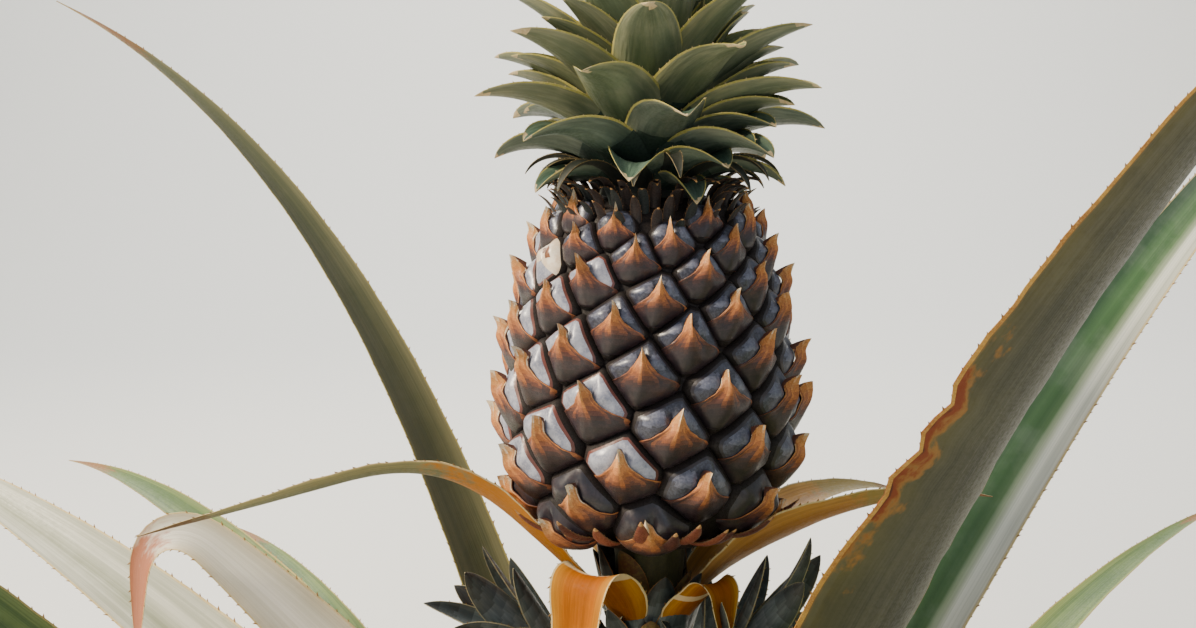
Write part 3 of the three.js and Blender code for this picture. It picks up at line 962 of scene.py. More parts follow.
# The rust-brown zones along the torn margin of the big leaf, from wide to narrow.
TORN_MARGIN = (
    Zone("9a6a2c", 0.46, 0.085, 0.8, across=0.0, half_across=0.15, ragged=1.4),
    Zone("7a3414", 0.462, 0.07, 0.97, across=0.0, half_across=0.11, ragged=1.4),
    Zone("45200f", 0.45, 0.045, 0.85, across=0.0, half_across=0.06, ragged=1.4),
)
BROWN_END = Zone("5f3d24", 1.0, 0.16, 0.85, ragged=0.5)
RUSSET_END = Zone("7d4a24", 1.0, 0.12, 0.85, ragged=0.5)
CREAM_ZONES = (Zone("a9501a", 0.97, 0.15, 0.85, ragged=0.5), Zone("8f9a72", 0.1, 0.35, 0.5))
FOLDED = dict(
    zones=(Zone("ecd9ae", 0.35, 0.03, 0.7), Zone("84410f", 0.97, 0.2, 0.8)),
    variant=Touch("945400", 0.2), lines=40.0, roughness=0.66, specular=0.15)
DRY = dict(
    zones=(Zone("5a3d24", 1.0, 0.2, 0.8),), lines=34.0, roughness=0.75, specular=0.2, bump=0.6)

# The upper and lower finish of each kind of leaf, with its streak, cloud and variant touches.
LEAF_FACES = {
    LeafKind.GREEN: (
        BladeFinish(
            "leaf_green_upper", evenly("93a055", "527036", "446331", "56743c", "96a258"),
            Touch("33502a", 0.55), Touch("7f9156", 0.35), Touch("6f7f4a", 0.4),
            zones=(PALE_BASE, DRY_TIP)),
        underside(
            "leaf_green_lower", evenly("a3a172", "838c66", "7c8764", "a3a172"),
            "9a9c7c", "8b8f68")),
    LeafKind.OLIVE: (
        BladeFinish(
            "leaf_olive_upper", evenly("b09a4c", "7c7c3c", "6d7238", "7f7d3e", "b39b4e"),
            Touch("565a2a", 0.5), Touch("a08c4c", 0.4), Touch("94813f", 0.4),
            zones=(PALE_BASE, Zone("9a6b35", 1.0, 0.2, 0.9, ragged=0.6))),
        underside(
            "leaf_olive_lower", evenly("ab9f6c", "928f66", "8c8a63", "ab9f6c"),
            "a39a74", "99905f")),
    LeafKind.SILVER: (
        BladeFinish(
            "leaf_silver_upper",
            ((0.0, "d3c498"), (0.08, "d6d7c9"), (0.36, "dcddd2"), (0.48, "bfc3b3"),
             (0.6, "9fa692"), (0.7, "c4c8ba"), (0.92, "dcddd2"), (1.0, "cdbf94")),
            Touch("838b74", 0.5), Touch("e2e4da", 0.4), Touch("b8b294", 0.2),
            zones=(DRY_TIP, Zone("7f8e5c", 0.1, 0.4, 0.6)), lines=40.0, roughness=0.48),
        BladeFinish(
            "leaf_silver_lower", evenly("c9ba8c", "9c9f80", "a6aa8c", "c9ba8c"),
            Touch("6f7858", 0.7), Touch("c6c7b2", 0.4), Touch("a9a584", 0.3),
            lines=40.0, roughness=0.55)),
    LeafKind.SUN_BANDED: (
        # Painted sunlight: the white band near one margin of the upper face is painted glare over
        # the leaf's real green.
        BladeFinish(
            "leaf_banded_sunlit_upper",
            ((0.0, "7a5a34"), (0.03, "a58a5a"), (0.07, "f0eee2"), (0.25, "eaece0"),
             (0.34, "b3bfa2"), (0.43, "5b7a50"), (0.54, "45683f"), (0.66, "557a4c"),
             (0.8, "385738"), (1.0, "304d30")),
            Touch("3c5a3a", 0.3), Touch("e4e8da", 0.1), Touch("7f8a5a", 0.1),
            lines=50.0, roughness=0.42),
        underside(
            "leaf_banded_lower", evenly("9a9a70", "6f7b56", "6a7652", "9a9a70"),
            "8a9070", "7f8560")),
    LeafKind.SHADED_OLIVE_BACK: (
        BladeFinish(
            "leaf_big_upper", evenly("a3a05a", "6a7a42", "5f7040", "a3a05a"),
            Touch("4a5c30", 0.4), Touch("8f9763", 0.3), Touch("7c8450", 0.1)),
        # Painted shade: this underside's dark olive, darker than the other leaves' pale undersides,
        # darkens its real grey-olive colour.
        BladeFinish(
            "leaf_big_lower_shaded",
            ((0.0, "c98a2c"), (0.03, "ad7a2e"), (0.06, "5c5733"), (0.3, "434430"),
             (0.7, "3a3c2c"), (0.93, "4c4a34"), (0.97, "786338"), (1.0, "8f733c")),
            Touch("605e48", 0.35), Touch("2c2d24", 0.45), Touch("6a5a34", 0.1),
            zones=(DRY_TIP, *TORN_MARGIN, Zone("96742c", 0.97, 0.24, 0.3)), lines=64.0,
            specular=0.35)),
    LeafKind.PEACH: (
        BladeFinish(
            "leaf_peach_upper", evenly("d9b58c", "cdb48e", "d6c3a2", "c9ac84", "dcb98f"),
            Touch("b08c64", 0.4), Touch("e2d2b6", 0.4), Touch("c9a377", 0.2)),
        underside(
            "leaf_peach_lower", evenly("cfae86", "bda785", "c2ad8a", "cfae86"),
            "cbb694", "c0a67e")),
    LeafKind.DUSKY: (
        BladeFinish(
            "leaf_dusky_upper", evenly("8a8560", "6b6e50", "5f664a", "6f7052", "8f8862"),
            Touch("4e5640", 0.4), Touch("7f7c5e", 0.4), Touch("787048", 0.2)),
        underside(
            "leaf_dusky_lower", evenly("8f8a68", "7b7a5e", "74755a", "8f8a68"),
            "858067", "7d785a")),
    LeafKind.YELLOWING: (
        BladeFinish(
            "leaf_yellowing_upper", evenly("aaa368", "737852", "666c4a", "787b52", "b0a86c"),
            Touch("4f5638", 0.45), Touch("8f9068", 0.35), Touch("8a8452", 0.1),
            zones=(Zone("cc8408", 0.12, 0.33, 0.95, ragged=0.5), BROWN_END)),
        BladeFinish(
            "leaf_yellowing_lower", evenly("b3ab74", "7f8060", "74775a", "b3ab74"),
            Touch("5a5e44", 0.5), Touch("8f8c68", 0.3), Touch("857f5a", 0.1),
            zones=(Zone("c87c08", 0.12, 0.33, 0.95, ragged=0.5), BROWN_END), lines=40.0,
            roughness=0.55)),
    LeafKind.AMBER: (
        BladeFinish(
            "leaf_amber_upper", evenly("dcae5c", "b9822a", "a9741f", "b9822a", "dcae5c"),
            Touch("8a5a1a", 0.45), Touch("c99a48", 0.35), Touch("a88a3c", 0.2),
            zones=(Zone("77793e", 0.86, 0.26, 0.6, ragged=0.6), RUSSET_END)),
        BladeFinish(
            "leaf_amber_lower", evenly("d6a65a", "b27a34", "a56f30", "d6a65a"),
            Touch("84542a", 0.45), Touch("bd8a58", 0.4), Touch("a3823e", 0.2),
            zones=(Zone("808048", 0.86, 0.26, 0.6, ragged=0.6), RUSSET_END))),
    LeafKind.CREAM: (
        BladeFinish(
            "leaf_cream_upper", evenly("d3c29a", "d8d4c4", "e6e3d8", "dad6c8", "d6c7a2"),
            Touch("b3b09a", 0.4), Touch("ece9de", 0.35), Touch("c9b998", 0.2),
            zones=CREAM_ZONES),
        BladeFinish(
            "leaf_cream_lower", evenly("d0be94", "d2cdb9", "d8d4c2", "d0be94"),
            Touch("aca98f", 0.4), Touch("e6e2d4", 0.35), Touch("bfae8c", 0.2),
            zones=CREAM_ZONES)),
    LeafKind.FOLDED: (
        BladeFinish(
            "leaf_folded_upper", evenly("d29a30", "a85c00", "984e00", "a45800", "d49c34"),
            Touch("7a4200", 0.45), Touch("b8741a", 0.35), **FOLDED),
        BladeFinish(
            "leaf_folded_lower", evenly("d29a30", "a85c00", "9a5000", "d29a30"),
            Touch("7a4202", 0.45), Touch("b5721c", 0.35), **FOLDED)),
    LeafKind.DRY: (
        BladeFinish(
            "leaf_dry_upper", evenly("b08a52", "8f6a3c", "7d5a34", "93703f", "b58e56"),
            Touch("5f4226", 0.5), Touch("b0925f", 0.4), Touch("6b4c2c", 0.4), **DRY),
        BladeFinish(
            "leaf_dry_lower", evenly("ac8a58", "99774a", "8b6a42", "ac8a58"),
            Touch("6b4d2e", 0.5), Touch("b89a68", 0.4), Touch("75562f", 0.3), **DRY)),
}


class FinishBook:
    """All finishes of the plant, each made once."""

    def __init__(self) -> None:
        """Make the shared effects, the leaf finishes and the finishes of their margins."""
        self.shared = SharedEffects()
        self.leaves = {kind: [face.material(self.shared) for face in pair]
                       for kind, pair in LEAF_FACES.items()}
        self.slips: list[Material] = []
        self.green_edge = self.skin("margin_green", "a89a5a", "8f8a48", "c9b87a", roughness=0.6)
        self.pale_edge = self.skin("margin_pale", "d6c391", "c4a764", "e9dcb4", roughness=0.6)
        self.gold_edge = self.skin(
            "margin_gold", "b98a3a", "8f4a1e", "d8b468", cloud_strength=0.6, roughness=0.65)
        self.dry_edge = self.skin("margin_dry", "a5763c", "8a5a2a", "c79a5c", roughness=0.75)
        self.scar = self.skin(
            "margin_scar", "8a3c16", "5a2410", "c46a2c", cloud_strength=0.6,
            grain_strength=0.5, cloud_scale=260.0, grain_scale=1500.0, roughness=0.8)
        self.spine = self.skin("spine_horn", "8f6a3a", "6f4a26", "b58f58", roughness=0.5)
        self.slip_edge = self.skin("slip_margin", "b0a782", "8f8460", "cfc7a8", roughness=0.6)

    def skin(self, name: str, base: str, cloud: str, grain: str, **sizes: float) -> Material:
        """Make a skin finish, with its other sizes by the names that SkinFinish has."""
        return SkinFinish(name, base, cloud, grain, **sizes).material(self.shared)

    def slip_blades(self) -> list:
        """Make the finishes of a slip's leaves once, in steps from the pale foot to the dark end.

        Returns:
            The materials.
        """
        if not self.slips:
            steps = ("a3abab", "8b9698", "6f7c80", "4d595d", "323d41", "1e262a")
            for step, code in enumerate(steps):
                rim, deep = mixed(code, "a39f80", 0.4), mixed(code, "12181a", 0.2)
                finish = BladeFinish(
                    f"slip_{step}", evenly(rim, code, deep, code, rim),
                    streak=Touch(mixed(code, "10171a", 0.5), 0.5),
                    cloud=Touch(mixed(code, "9aa39c", 0.3), 0.45),
                    variant=Touch(mixed(code, "5f4a3c", 0.5), 0.5),
                    zones=(), lines=26.0, roughness=0.46, specular=0.4, bump=0.4)
                self.slips.append(finish.material(self.shared))
        return self.slips

    def blade_set(self, kind: LeafKind) -> list:
        """Pick a long leaf's materials: its faces, margin, spines and torn margin."""
        edge = {
            LeafKind.GREEN: self.green_edge, LeafKind.OLIVE: self.green_edge,
            LeafKind.DUSKY: self.green_edge, LeafKind.SHADED_OLIVE_BACK: self.gold_edge,
            LeafKind.DRY: self.dry_edge,
        }.get(kind, self.pale_edge)
        return [*self.leaves[kind], edge, self.spine, self.scar]


@dataclass
class Stem:
    """The short club-shaped stem, ringed with the scars of old leaves."""

    scar_step: float = 8.5
    scar_depth: float = 1.3
    scar_slope: float = 0.5
    ring_slant: float = 0.5
    ring_wander: float = 0.18
    furrow: float = 0.3
    plain_end: float = 4.0
    around: int = 96
    rows: int = 150

    def build(self, book: FinishBook) -> None:
        """Build the bark with its relief.

        Args:
            book: The finishes.
        """
        tall, turn = limb_grid(0.0, STEM_HEIGHT, self.rows, self.around)
        ring = (tall / self.scar_step + self.ring_slant * np.sin(turn)
                + self.ring_wander * wave(turn * 3.0, 2.0))
        scar = ring - np.floor(ring)
        relief = -self.scar_depth * smooth(1.0 - scar * 3.0) - self.scar_slope * (1.0 - scar)
        relief = relief + self.furrow * wave(turn * 14.0 + tall * 0.3, 1.0)
        ends = smooth(tall / self.plain_end) * smooth((STEM_HEIGHT - tall) / self.plain_end)
        draft = MeshDraft()
        draft.add_limb(tall, turn, radius_at(STEM_PROFILE, tall) + relief * ends, STEM_HEIGHT)
        bark = book.skin(
            "stem_bark", "6a5236", "3f2f20", "9a8258", cloud_strength=0.7, grain_strength=0.5,
            cloud_scale=70.0, grain_scale=600.0, roughness=0.85, specular=0.2, bump=0.8)
        draft.build("stem_bark", [bark], ["stem"], "bark")


class StalkTone(IntEnum):
    """The stalk's material slots, with the first of the slips' blade finishes after them."""

    SKIN = 0
    SCALE = 1
    EDGE = 2
    SPINE = 3
    BLADES = 4


@dataclass
class Peduncle:
    """The stalk under the fruit, clad in small pointed scales and in a sheath of dark leaves."""

    around: int = 56
    rows: int = 90
    ribs: float = 14.0
    rib_depth: float = 0.35
    sunk: float = 0.4
    scales: int = 26
    scale_foot: float = 6.0
    scale_top: float = 28.0
    sheath: int = 17
    sheath_foot: float = 370.0
    sheath_band: float = 24.0
    sheath_seed: int = 40

    def scale(self, place: int) -> LeafShape:
        """Give the shape of one small scale.

        Args:
            place: Its number, from the stalk's foot up.

        Returns:
            The shape, with its seat's height.
        """
        foot, top = PEDUNCLE_PROFILE[0][1], PEDUNCLE_PROFILE[-1][1]
        height = place / (self.scales - 1)
        return LeafShape(
            azimuth=40.0 + place * GOLDEN_TURN, rise=78.0 - 10.0 * scatter(place, 1.0),
            droop=-6.0 + 26.0 * scatter(place, 2.0), length=36.0 - 8.0 * height, width=15.0,
            seat=foot + self.scale_foot + (top - foot - self.scale_foot - self.scale_top) * height,
            channel=0.95, outline=Outline.LANCE, bend=1.6)

    def sheath_leaf(self, place: int) -> LeafShape:
        """Give the shape of one dark leaf of the sheath under the fruit."""
        return LeafShape(
            azimuth=262.0 + place * GOLDEN_TURN, rise=66.0 + 10.0 * scatter(place, 6.0),
            droop=-14.0 + 24.0 * scatter(place, 7.0), length=41.0 + 7.0 * scatter(place, 8.0),
            width=20.0, seat=self.sheath_foot + self.sheath_band * scatter(place, 5.0),
            bend=1.4, channel=0.9, outline=Outline.LANCE)

    def build(self, book: FinishBook) -> None:
        """Build the stalk, its scales and its sheath.

        Args:
            book: The finishes.
        """
        foot, top = PEDUNCLE_PROFILE[0][1], PEDUNCLE_PROFILE[-1][1]
        tall, turn = limb_grid(foot, top, self.rows, self.around)
        ribbed = self.rib_depth * (np.cos(turn * self.ribs + tall * 0.02) - 1.0)
        radius = radius_at(PEDUNCLE_PROFILE, tall) + ribbed + 0.2 * wave(tall / 6.0, 3.0)
        draft = MeshDraft()
        draft.add_limb(tall, turn, radius, top - foot, StalkTone.SKIN)
        maker = BladeBuild(rows=14, columns=6, thickness=1.2, spine_every=4.0, spine_length=1.1,
                           sunk=self.sunk)
        slots = BladeSlots(StalkTone.SCALE, StalkTone.SCALE, StalkTone.EDGE, StalkTone.SPINE)
        for place in range(self.scales):
            maker.add_round(draft, self.scale(place), PEDUNCLE_PROFILE, place, slots)
        maker = replace(maker, rows=24, columns=8, thickness=1.3, spine_length=1.2)
        ladder = tuple(StalkTone.BLADES + step for step in (1, 2, 2, 3, 4, 5))
        slots = BladeSlots(margin=StalkTone.EDGE, spine=StalkTone.SPINE, ragged=0.05, ladder=ladder)
        for place in range(self.sheath):
            shape = self.sheath_leaf(place)
            maker.add_round(draft, shape, PEDUNCLE_PROFILE, self.sheath_seed + place, slots)
        skin = book.skin("stalk_skin", "4c4a30", "33321f", "6b6844", roughness=0.7)
        scale = book.skin(
            "stalk_scale", "5c5330", "6d3f2c", "8a7a44", cloud_strength=0.6,
            grain_strength=0.4, cloud_scale=90.0, grain_scale=700.0, roughness=0.65)
        edge = book.skin("stalk_scale_edge", "8a6238", "6b4426", "b08a56", roughness=0.7)
        draft.build("peduncle_stalk", [skin, scale, edge, book.spine, *book.slip_blades()],
                    ["peduncle"], "peduncle")


@dataclass
class FruitSkin:
    """The fruit's rounded flesh, as a smooth turned surface."""

    samples: int = 160
    slope_step: float = 2.0

    def __post_init__(self) -> None:
        """Smooth the profile and measure along it."""
        share, width = (np.array(column) for column in zip(*FRUIT_FORM))
        fine = np.linspace(0.0, len(share) - 1.0, self.samples)
        self.height = self.curve(share * FRUIT_LENGTH + FRUIT_BASE, fine)
        self.radius = self.curve(width * FRUIT_RADIUS, fine)
        steps = np.hypot(np.diff(self.height), np.diff(self.radius))
        self.run = np.concatenate([[0.0], np.cumsum(steps)])

    @staticmethod
    def curve(values: Array, fine: Array) -> Array:
        """Run a smooth curve through evenly spaced values.

        Args:
            values: The values, at places 0, 1, 2 and so on.
            fine: Where the curve is read.

        Returns:
            The curve's values.
        """
        slope = np.gradient(values)
        left = np.clip(np.floor(fine).astype(int), 0, len(values) - 2)
        t = fine - left
        from_value, from_slope = (1.0 + 2.0 * t) * (1.0 - t) ** 2, t * (1.0 - t) ** 2
        to_value, to_slope = t * t * (3.0 - 2.0 * t), t * t * (t - 1.0)
        return (from_value * values[left] + from_slope * slope[left]
                + to_value * values[left + 1] + to_slope * slope[left + 1])

    def place(self, turn: Array, run: Array, lift: Array | float) -> Array:
        """Place points on or above the flesh.

        Args:
            turn: Angles round the axis, in radians.
            run: Distances up the profile, in millimetres.
            lift: Distances above the flesh, in millimetres.

        Returns:
            Points in metres.
        """
        radius = np.interp(run, self.run, self.radius)
        height = np.interp(run, self.run, self.height)
        ahead, above = (
            np.interp(run + self.slope_step, self.run, values)
            - np.interp(run - self.slope_step, self.run, values)
            for values in (self.radius, self.height))
        size = np.hypot(ahead, above)
        return turned(turn, radius + lift * above / size, height - lift * ahead / size)


@dataclass(frozen=True)
class Collar:
    """The sizes of a ring of small leaves round the fruit."""

    count: int
    low: float
    high: float
    rise: float
    droop: float
    length: float
    width: float
    phase: float
    salt: float
    tone: int = 0


class EyeTone(IntEnum):
    """The material slots of the eyes."""

    SHADED_GAP = 0
    SHADE = 1
    SIDE = 2
    SUNLIT_BLOOM = 3
    BLEACHED = 4
    SCAR = 5
    HIGHLIT_CREST = 6
    RIM = 7


class CollarTone(IntEnum):
    """The material slots of the rings of small leaves; each first tone has a second after it."""

    SHOULDER = 0
    EDGE = 2
    TIP = 3
    FOOT = 4


# Each finish here is a name with its base, cloud and grain colours, in slot order.
SEPAL_COLOURS = (
    # Painted shade for the domes' rims and for the lowest eyes, which face down.
    ("sepal_shade", "24232d", "3a3034", "16161f"),
    ("sepal_side", "383b4b", "24252f", "717587"),
    # Painted sunlight: a pale tone over the real waxy bloom, for eyes that face the sunny side.
    ("sepal_sunlit_bloom", "a0a3b2", "666a80", "d4d4d8"),
    ("sepal_bleached", "e2d8c6", "c9ad8a", "f0eadc"),
    ("sepal_scar", "7a4a2c", "4f2c1c", "a8774c"),
    # Painted highlight on the crests of the sepals.
    ("sepal_crest_highlight", "5b5f72", "3e4050", "9095a6"),
    ("sepal_rim", "5c342e", "7a443a", "3a2220"),
)
COLLAR_COLOURS = (
    ("shoulder_dark", "2b3434", "343436", "1a2021"),
    ("shoulder_brown", "332f2f", "463530", "1d1a1a"),
    ("shoulder_edge", "5f4632", "3f2f26", "8a6a48"),
    ("shoulder_tip", "b98a56", "8a6038", "d8b27c"),
    ("foot_dark", "4f2b26", "6a3c30", "2c1816"),
    ("foot_red", "7a4030", "95583c", "4a251c"),
)

# A bract's colours from its foot to its tip.
BRACT_LADDER = (
    "1d181f", "281f26", "3a2626", "5e382c", "874e30", "ac6838", "c98143", "d69654",
    "e2b07a", "f1dfbc",
)
BRACT_BACK = 3

# A bract's half width and its rise off the eye along its length, and the step of its ladder
# of colours by how dry it is, raised by painted sunlight on the sunny side; each a curve of pairs.
BRACT_GIRTH = (
    (0.0, 0.3), (0.06, 0.6), (0.16, 0.85), (0.3, 0.98), (0.44, 0.99), (0.5, 0.84), (0.58, 0.56),
    (0.68, 0.34), (0.8, 0.19), (0.92, 0.09), (1.0, 0.015),
)
BRACT_RISE = (
    (0.0, 0.0), (0.2, 0.05), (0.4, 0.13), (0.52, 0.23), (0.66, 0.38), (0.8, 0.58), (0.92, 0.8),
    (1.0, 1.0),
)
BRACT_STEPS = (
    (0.0, 0.0), (0.24, 1.0), (0.4, 2.0), (0.5, 3.0), (0.58, 4.0), (0.66, 5.0), (0.76, 6.0),
    (0.88, 7.0), (0.99, 8.0), (1.06, 9.0),
)


@dataclass(frozen=True)
class Eye:
    """One eye: a waxy dome of sepals in its cell, and a papery bract over its lower half."""

    number: int
    turn: float
    run: float
    radius: float
    spacing: float
    above_foot: float
    reach: Array
    skin: FruitSkin
    bleached: bool
    sunny_side: float = 205.0
    # Painted sunlight: eyes that face the sunny side beyond this value, and sit no higher than the
    # next, take a pale tone.
    sunlit_from: float = 0.9
    highest_sunlit: float = 118.0
    full_spacing: float = 20.0
    ring_shares: tuple = (0.04, 0.2, 0.36, 0.5, 0.62, 0.72, 0.8, 0.87, 0.92, 0.96, 1.0, 1.03)
    lobe_angles: tuple = (0.72, 2.42)
    # Crest values past this take a painted highlight.
    highlight_from: float = 0.42
    # Rings past the first share take the rim's tone, which is painted shade except on sunlit eyes;
    # rings past the second take the near-black painted shade of the gap.
    rim_from: float = 0.76
    shaded_gap_from: float = 0.86
    bract_length: float = 11.5
    lowest_bracts: float = 26.0
    bract_rows: int = 26
    bract_columns: int = 18
    bract_thickness: float = 0.45

    @property
    def sunny(self) -> float:
        """Tell how far the eye faces the sunny side, from -1 to 1."""
        return cos(self.turn - radians(self.sunny_side))

    @property
    def fullness(self) -> float:
        """Tell how full the bract is, from a half at the fruit's foot to 1."""
        return 0.5 + 0.5 * float(smooth(self.above_foot / self.lowest_bracts))

    def place(self, beside: Array | float, above: Array | float, lift: Array | float) -> Array:
        """Place points by millimetres beside, above and off the eye's middle."""
        return self.skin.place(self.turn + beside / self.radius, self.run + above, lift)

    def dome(self, beside: Array, above: Array) -> tuple[Array, Array]:
        """Give the height of the dome, and how much of a sepal's crest a point is.

        Args:
            beside: Distances sideways from the eye's middle, in millimetres.
            above: Distances up from it.

        Returns:
            The heights in millimetres and the crest values from 0 to 1.
        """
        angle = np.arctan2(above, beside)
        slot = np.linspace(0.0, FULL_TURN, len(self.reach) + 1)
        edge = np.interp(np.mod(angle, FULL_TURN), slot, np.append(self.reach, self.reach[0]))
        out = np.hypot(beside, above) / edge
        scale = self.spacing / self.full_spacing
        body = (3.9 + 1.2 * scatter(self.number, 17.0)) * scale
        body = body * np.sign(1.0 - out) * np.abs(1.0 - out ** 3.2) ** 0.75
        groove = mound(angle, pi / 2.0, 0.2) * smooth(out * 2.4 - 0.2)
        lobes = sum(mound(angle, middle, 0.5) for middle in self.lobe_angles)
        crest = lobes * mound(out, 0.55, 0.3)
        cut = 2.9 * groove * np.clip(1.0 - out, 0.0, 1.0)
        height = np.maximum(body, -2.2) + scale * (1.5 * crest - cut)
        return height, np.clip(crest - groove, 0.0, 1.0)

    def tones(self, rings: Array, angle: Array, crest: Array) -> Array:
        """Deal the material slots out over the dome.

        Args:
            rings: The rings' shares of the reach.
            angle: The directions in radians.
            crest: How much of a sepal's crest each point is.

        Returns:
            The slots, by ring and direction.
        """
        low, high = self.above_foot < self.lowest_bracts, self.above_foot > self.highest_sunlit
        # Painted sunlight: eyes that face the sunny side, between the lowest and the highest, take
        # the pale tone on their sides and crests.
        painted_sunlit = self.sunny + 0.4 * scatter(self.number, 11.0) > self.sunlit_from
        side, top, rim = EyeTone.SIDE, EyeTone.HIGHLIT_CREST, EyeTone.SHADE
        if painted_sunlit and not (low or high):
            side, top, rim = EyeTone.SUNLIT_BLOOM, EyeTone.SUNLIT_BLOOM, EyeTone.RIM
        # Painted highlight: the crests take a lighter tone than the sides.
        tone = np.where(crest > self.highlight_from, top, side)
        # Painted shade: each dome's rim, and the whole of each low eye that faces down, take the
        # dark shade tone, except the real red rim of sunlit eyes; the outer ring takes the
        # near-black painted shade of the gap.
        tone = np.where((rings > self.rim_from) | low, rim, tone)
        tone = np.where(rings > self.shaded_gap_from, EyeTone.SHADED_GAP, tone)
        if self.bleached:
            tone = np.where((np.sin(angle) > -0.45) & (rings < 0.88), EyeTone.BLEACHED, tone)
            scar = (np.abs(angle - 1.2) < 0.75) & (rings > 0.3) & (rings < 0.55)
            tone = np.where(scar, EyeTone.SCAR, tone)
        return tone

    def add_dome(self, draft: MeshDraft) -> None:
        """Add the dome with its sepals.

        Args:
            draft: The mesh that takes it.
        """
        rings, count = np.array(self.ring_shares)[:, None], len(self.reach)
        angle = np.arange(count) * FULL_TURN / count
        beside, above = rings * self.reach * np.cos(angle), rings * self.reach * np.sin(angle)
        height, crest = self.dome(beside, above)
        points = self.place(beside, above, height)
        tone = self.tones(rings, angle, crest)
        coords = np.stack([beside / 40.0 + 0.5 + self.number, above / 40.0 + 0.5], axis=-1)
        draft.add_rings(points[::-1, ::-1], tone[:-1][::-1, ::-1], coords[::-1, ::-1])
        fan = np.concatenate([points[0], self.place(0.0, 0.0, height[0].mean())[None]])
        faces = [(k, (k + 1) % count, count) for k in range(count)]
        coord = np.concatenate([coords[0], coords[0].mean(axis=0)[None]])
        draft.add(fan, faces, [EyeTone.SHADE] * count, coord)

    def bract_form(self, along: Array, across: Array) -> tuple[Array, Array, Array]:
        """Shape the bract as a shield that is drawn out to a tip.

        Args:
            along: Shares of its length.
            across: Places across it from -1 to 1.

        Returns:
            Distances beside and above the eye's middle, and lifts off the flesh, in millimetres.
        """
        eye, spacing, quarter = self.number, self.spacing, len(self.reach) // 4
        low = self.reach[3 * quarter]
        wide = 0.5 * (self.reach[0] + self.reach[2 * quarter])
        lean = 0.15 * spacing * wave(float(eye) * 2.0, 1.0)
        ragged = 1.0 + 0.065 * wave(along * 20.0 + across * 3.0, eye)
        beside = across * wide * read_curve(BRACT_GIRTH, along) * ragged + lean * along ** 2
        climb = -0.93 * low + (0.93 * low + (0.12 + 0.3 * self.fullness) * spacing) * along
        above = climb - 0.07 * spacing * across ** 2 * smooth(along * 2.5)
        ground, _ = self.dome(beside, above)
        size = min(1.0, spacing / self.full_spacing) * (0.84 + 0.4 * scatter(eye, 4.0))
        end = self.bract_length * self.fullness * min(size, 1.1)
        rise = read_curve(BRACT_RISE, along) * max(end - float(ground[-1].mean()), 1.0)
        lift = ground + 0.35 + rise * (1.0 - 0.85 * np.abs(across) ** 1.2)
        crest = mound(across, 0.0, 0.26) * mound(along, 0.6, 0.28)
        hollow = mound(np.abs(across), 0.55, 0.25) * mound(along, 0.46, 0.2)
        lift = lift + (1.9 * crest - 0.9 * hollow) * spacing / 22.0
        lift = lift + 0.2 * np.sin(across * 19.0 + eye) * smooth(along * 2.0) * (1.0 - along)
        return beside, above, np.maximum(lift, ground + self.bract_thickness)

    def bract_tones(self, along: Array, across: Array) -> Array:
        """Deal the ladder of colours out over the bract, from its dark foot to its pale tip.

        Args:
            along: Shares of its length.
            across: Places across it from -1 to 1.

        Returns:
            The steps of the ladder, by row and by place.
        """
        eye, edge = self.number, np.abs(across)
        dry = along + 0.1 * (scatter(eye, 7.0) - 0.5) + 0.2 * (1.0 - self.fullness)
        # Painted sunlight: bracts on the sunny side step further up the ladder, to paler orange.
        dry = dry + 0.06 * self.sunny
        fingers = 0.05 * np.cos(across * 15.0 + eye) + 0.03 * np.cos(across * 27.0 + 2.0 * eye)
        dry = dry + (0.14 * (1.0 - edge) ** 1.5 + fingers) * smooth(along * 4.0 - 0.8)
        dry = dry + np.where(edge > 0.9, 0.2, 0.0) * smooth(along * 4.0 - 0.6)
        steps = np.floor(read_curve(BRACT_STEPS, dry))
        return np.clip(steps, 0, len(BRACT_LADDER) - 1).astype(int)

    def add_bract(self, draft: MeshDraft) -> None:
        """Add the bract.

        Args:
            draft: The mesh that takes it.
        """
        along = np.linspace(0.0, 1.0, self.bract_rows + 1)[:, None]
        across = np.linspace(-1.0, 1.0, self.bract_columns + 1)[None, :]
        beside, above, lift = self.bract_form(along, across)
        outer = self.place(beside, above, lift)
        inner = self.place(beside, above, lift - self.bract_thickness)
        rings = np.concatenate([outer, inner[:, ::-1]], axis=1)
        tone = self.bract_tones(along, across)[:-1]
        slots = np.concatenate([tone, np.full_like(tone, BRACT_BACK)], axis=1)
        coords = blade_coords(across, along, self.number)
        draft.add_rings(rings[:, ::-1], slots[:, ::-1], coords[:, ::-1], caps=True)


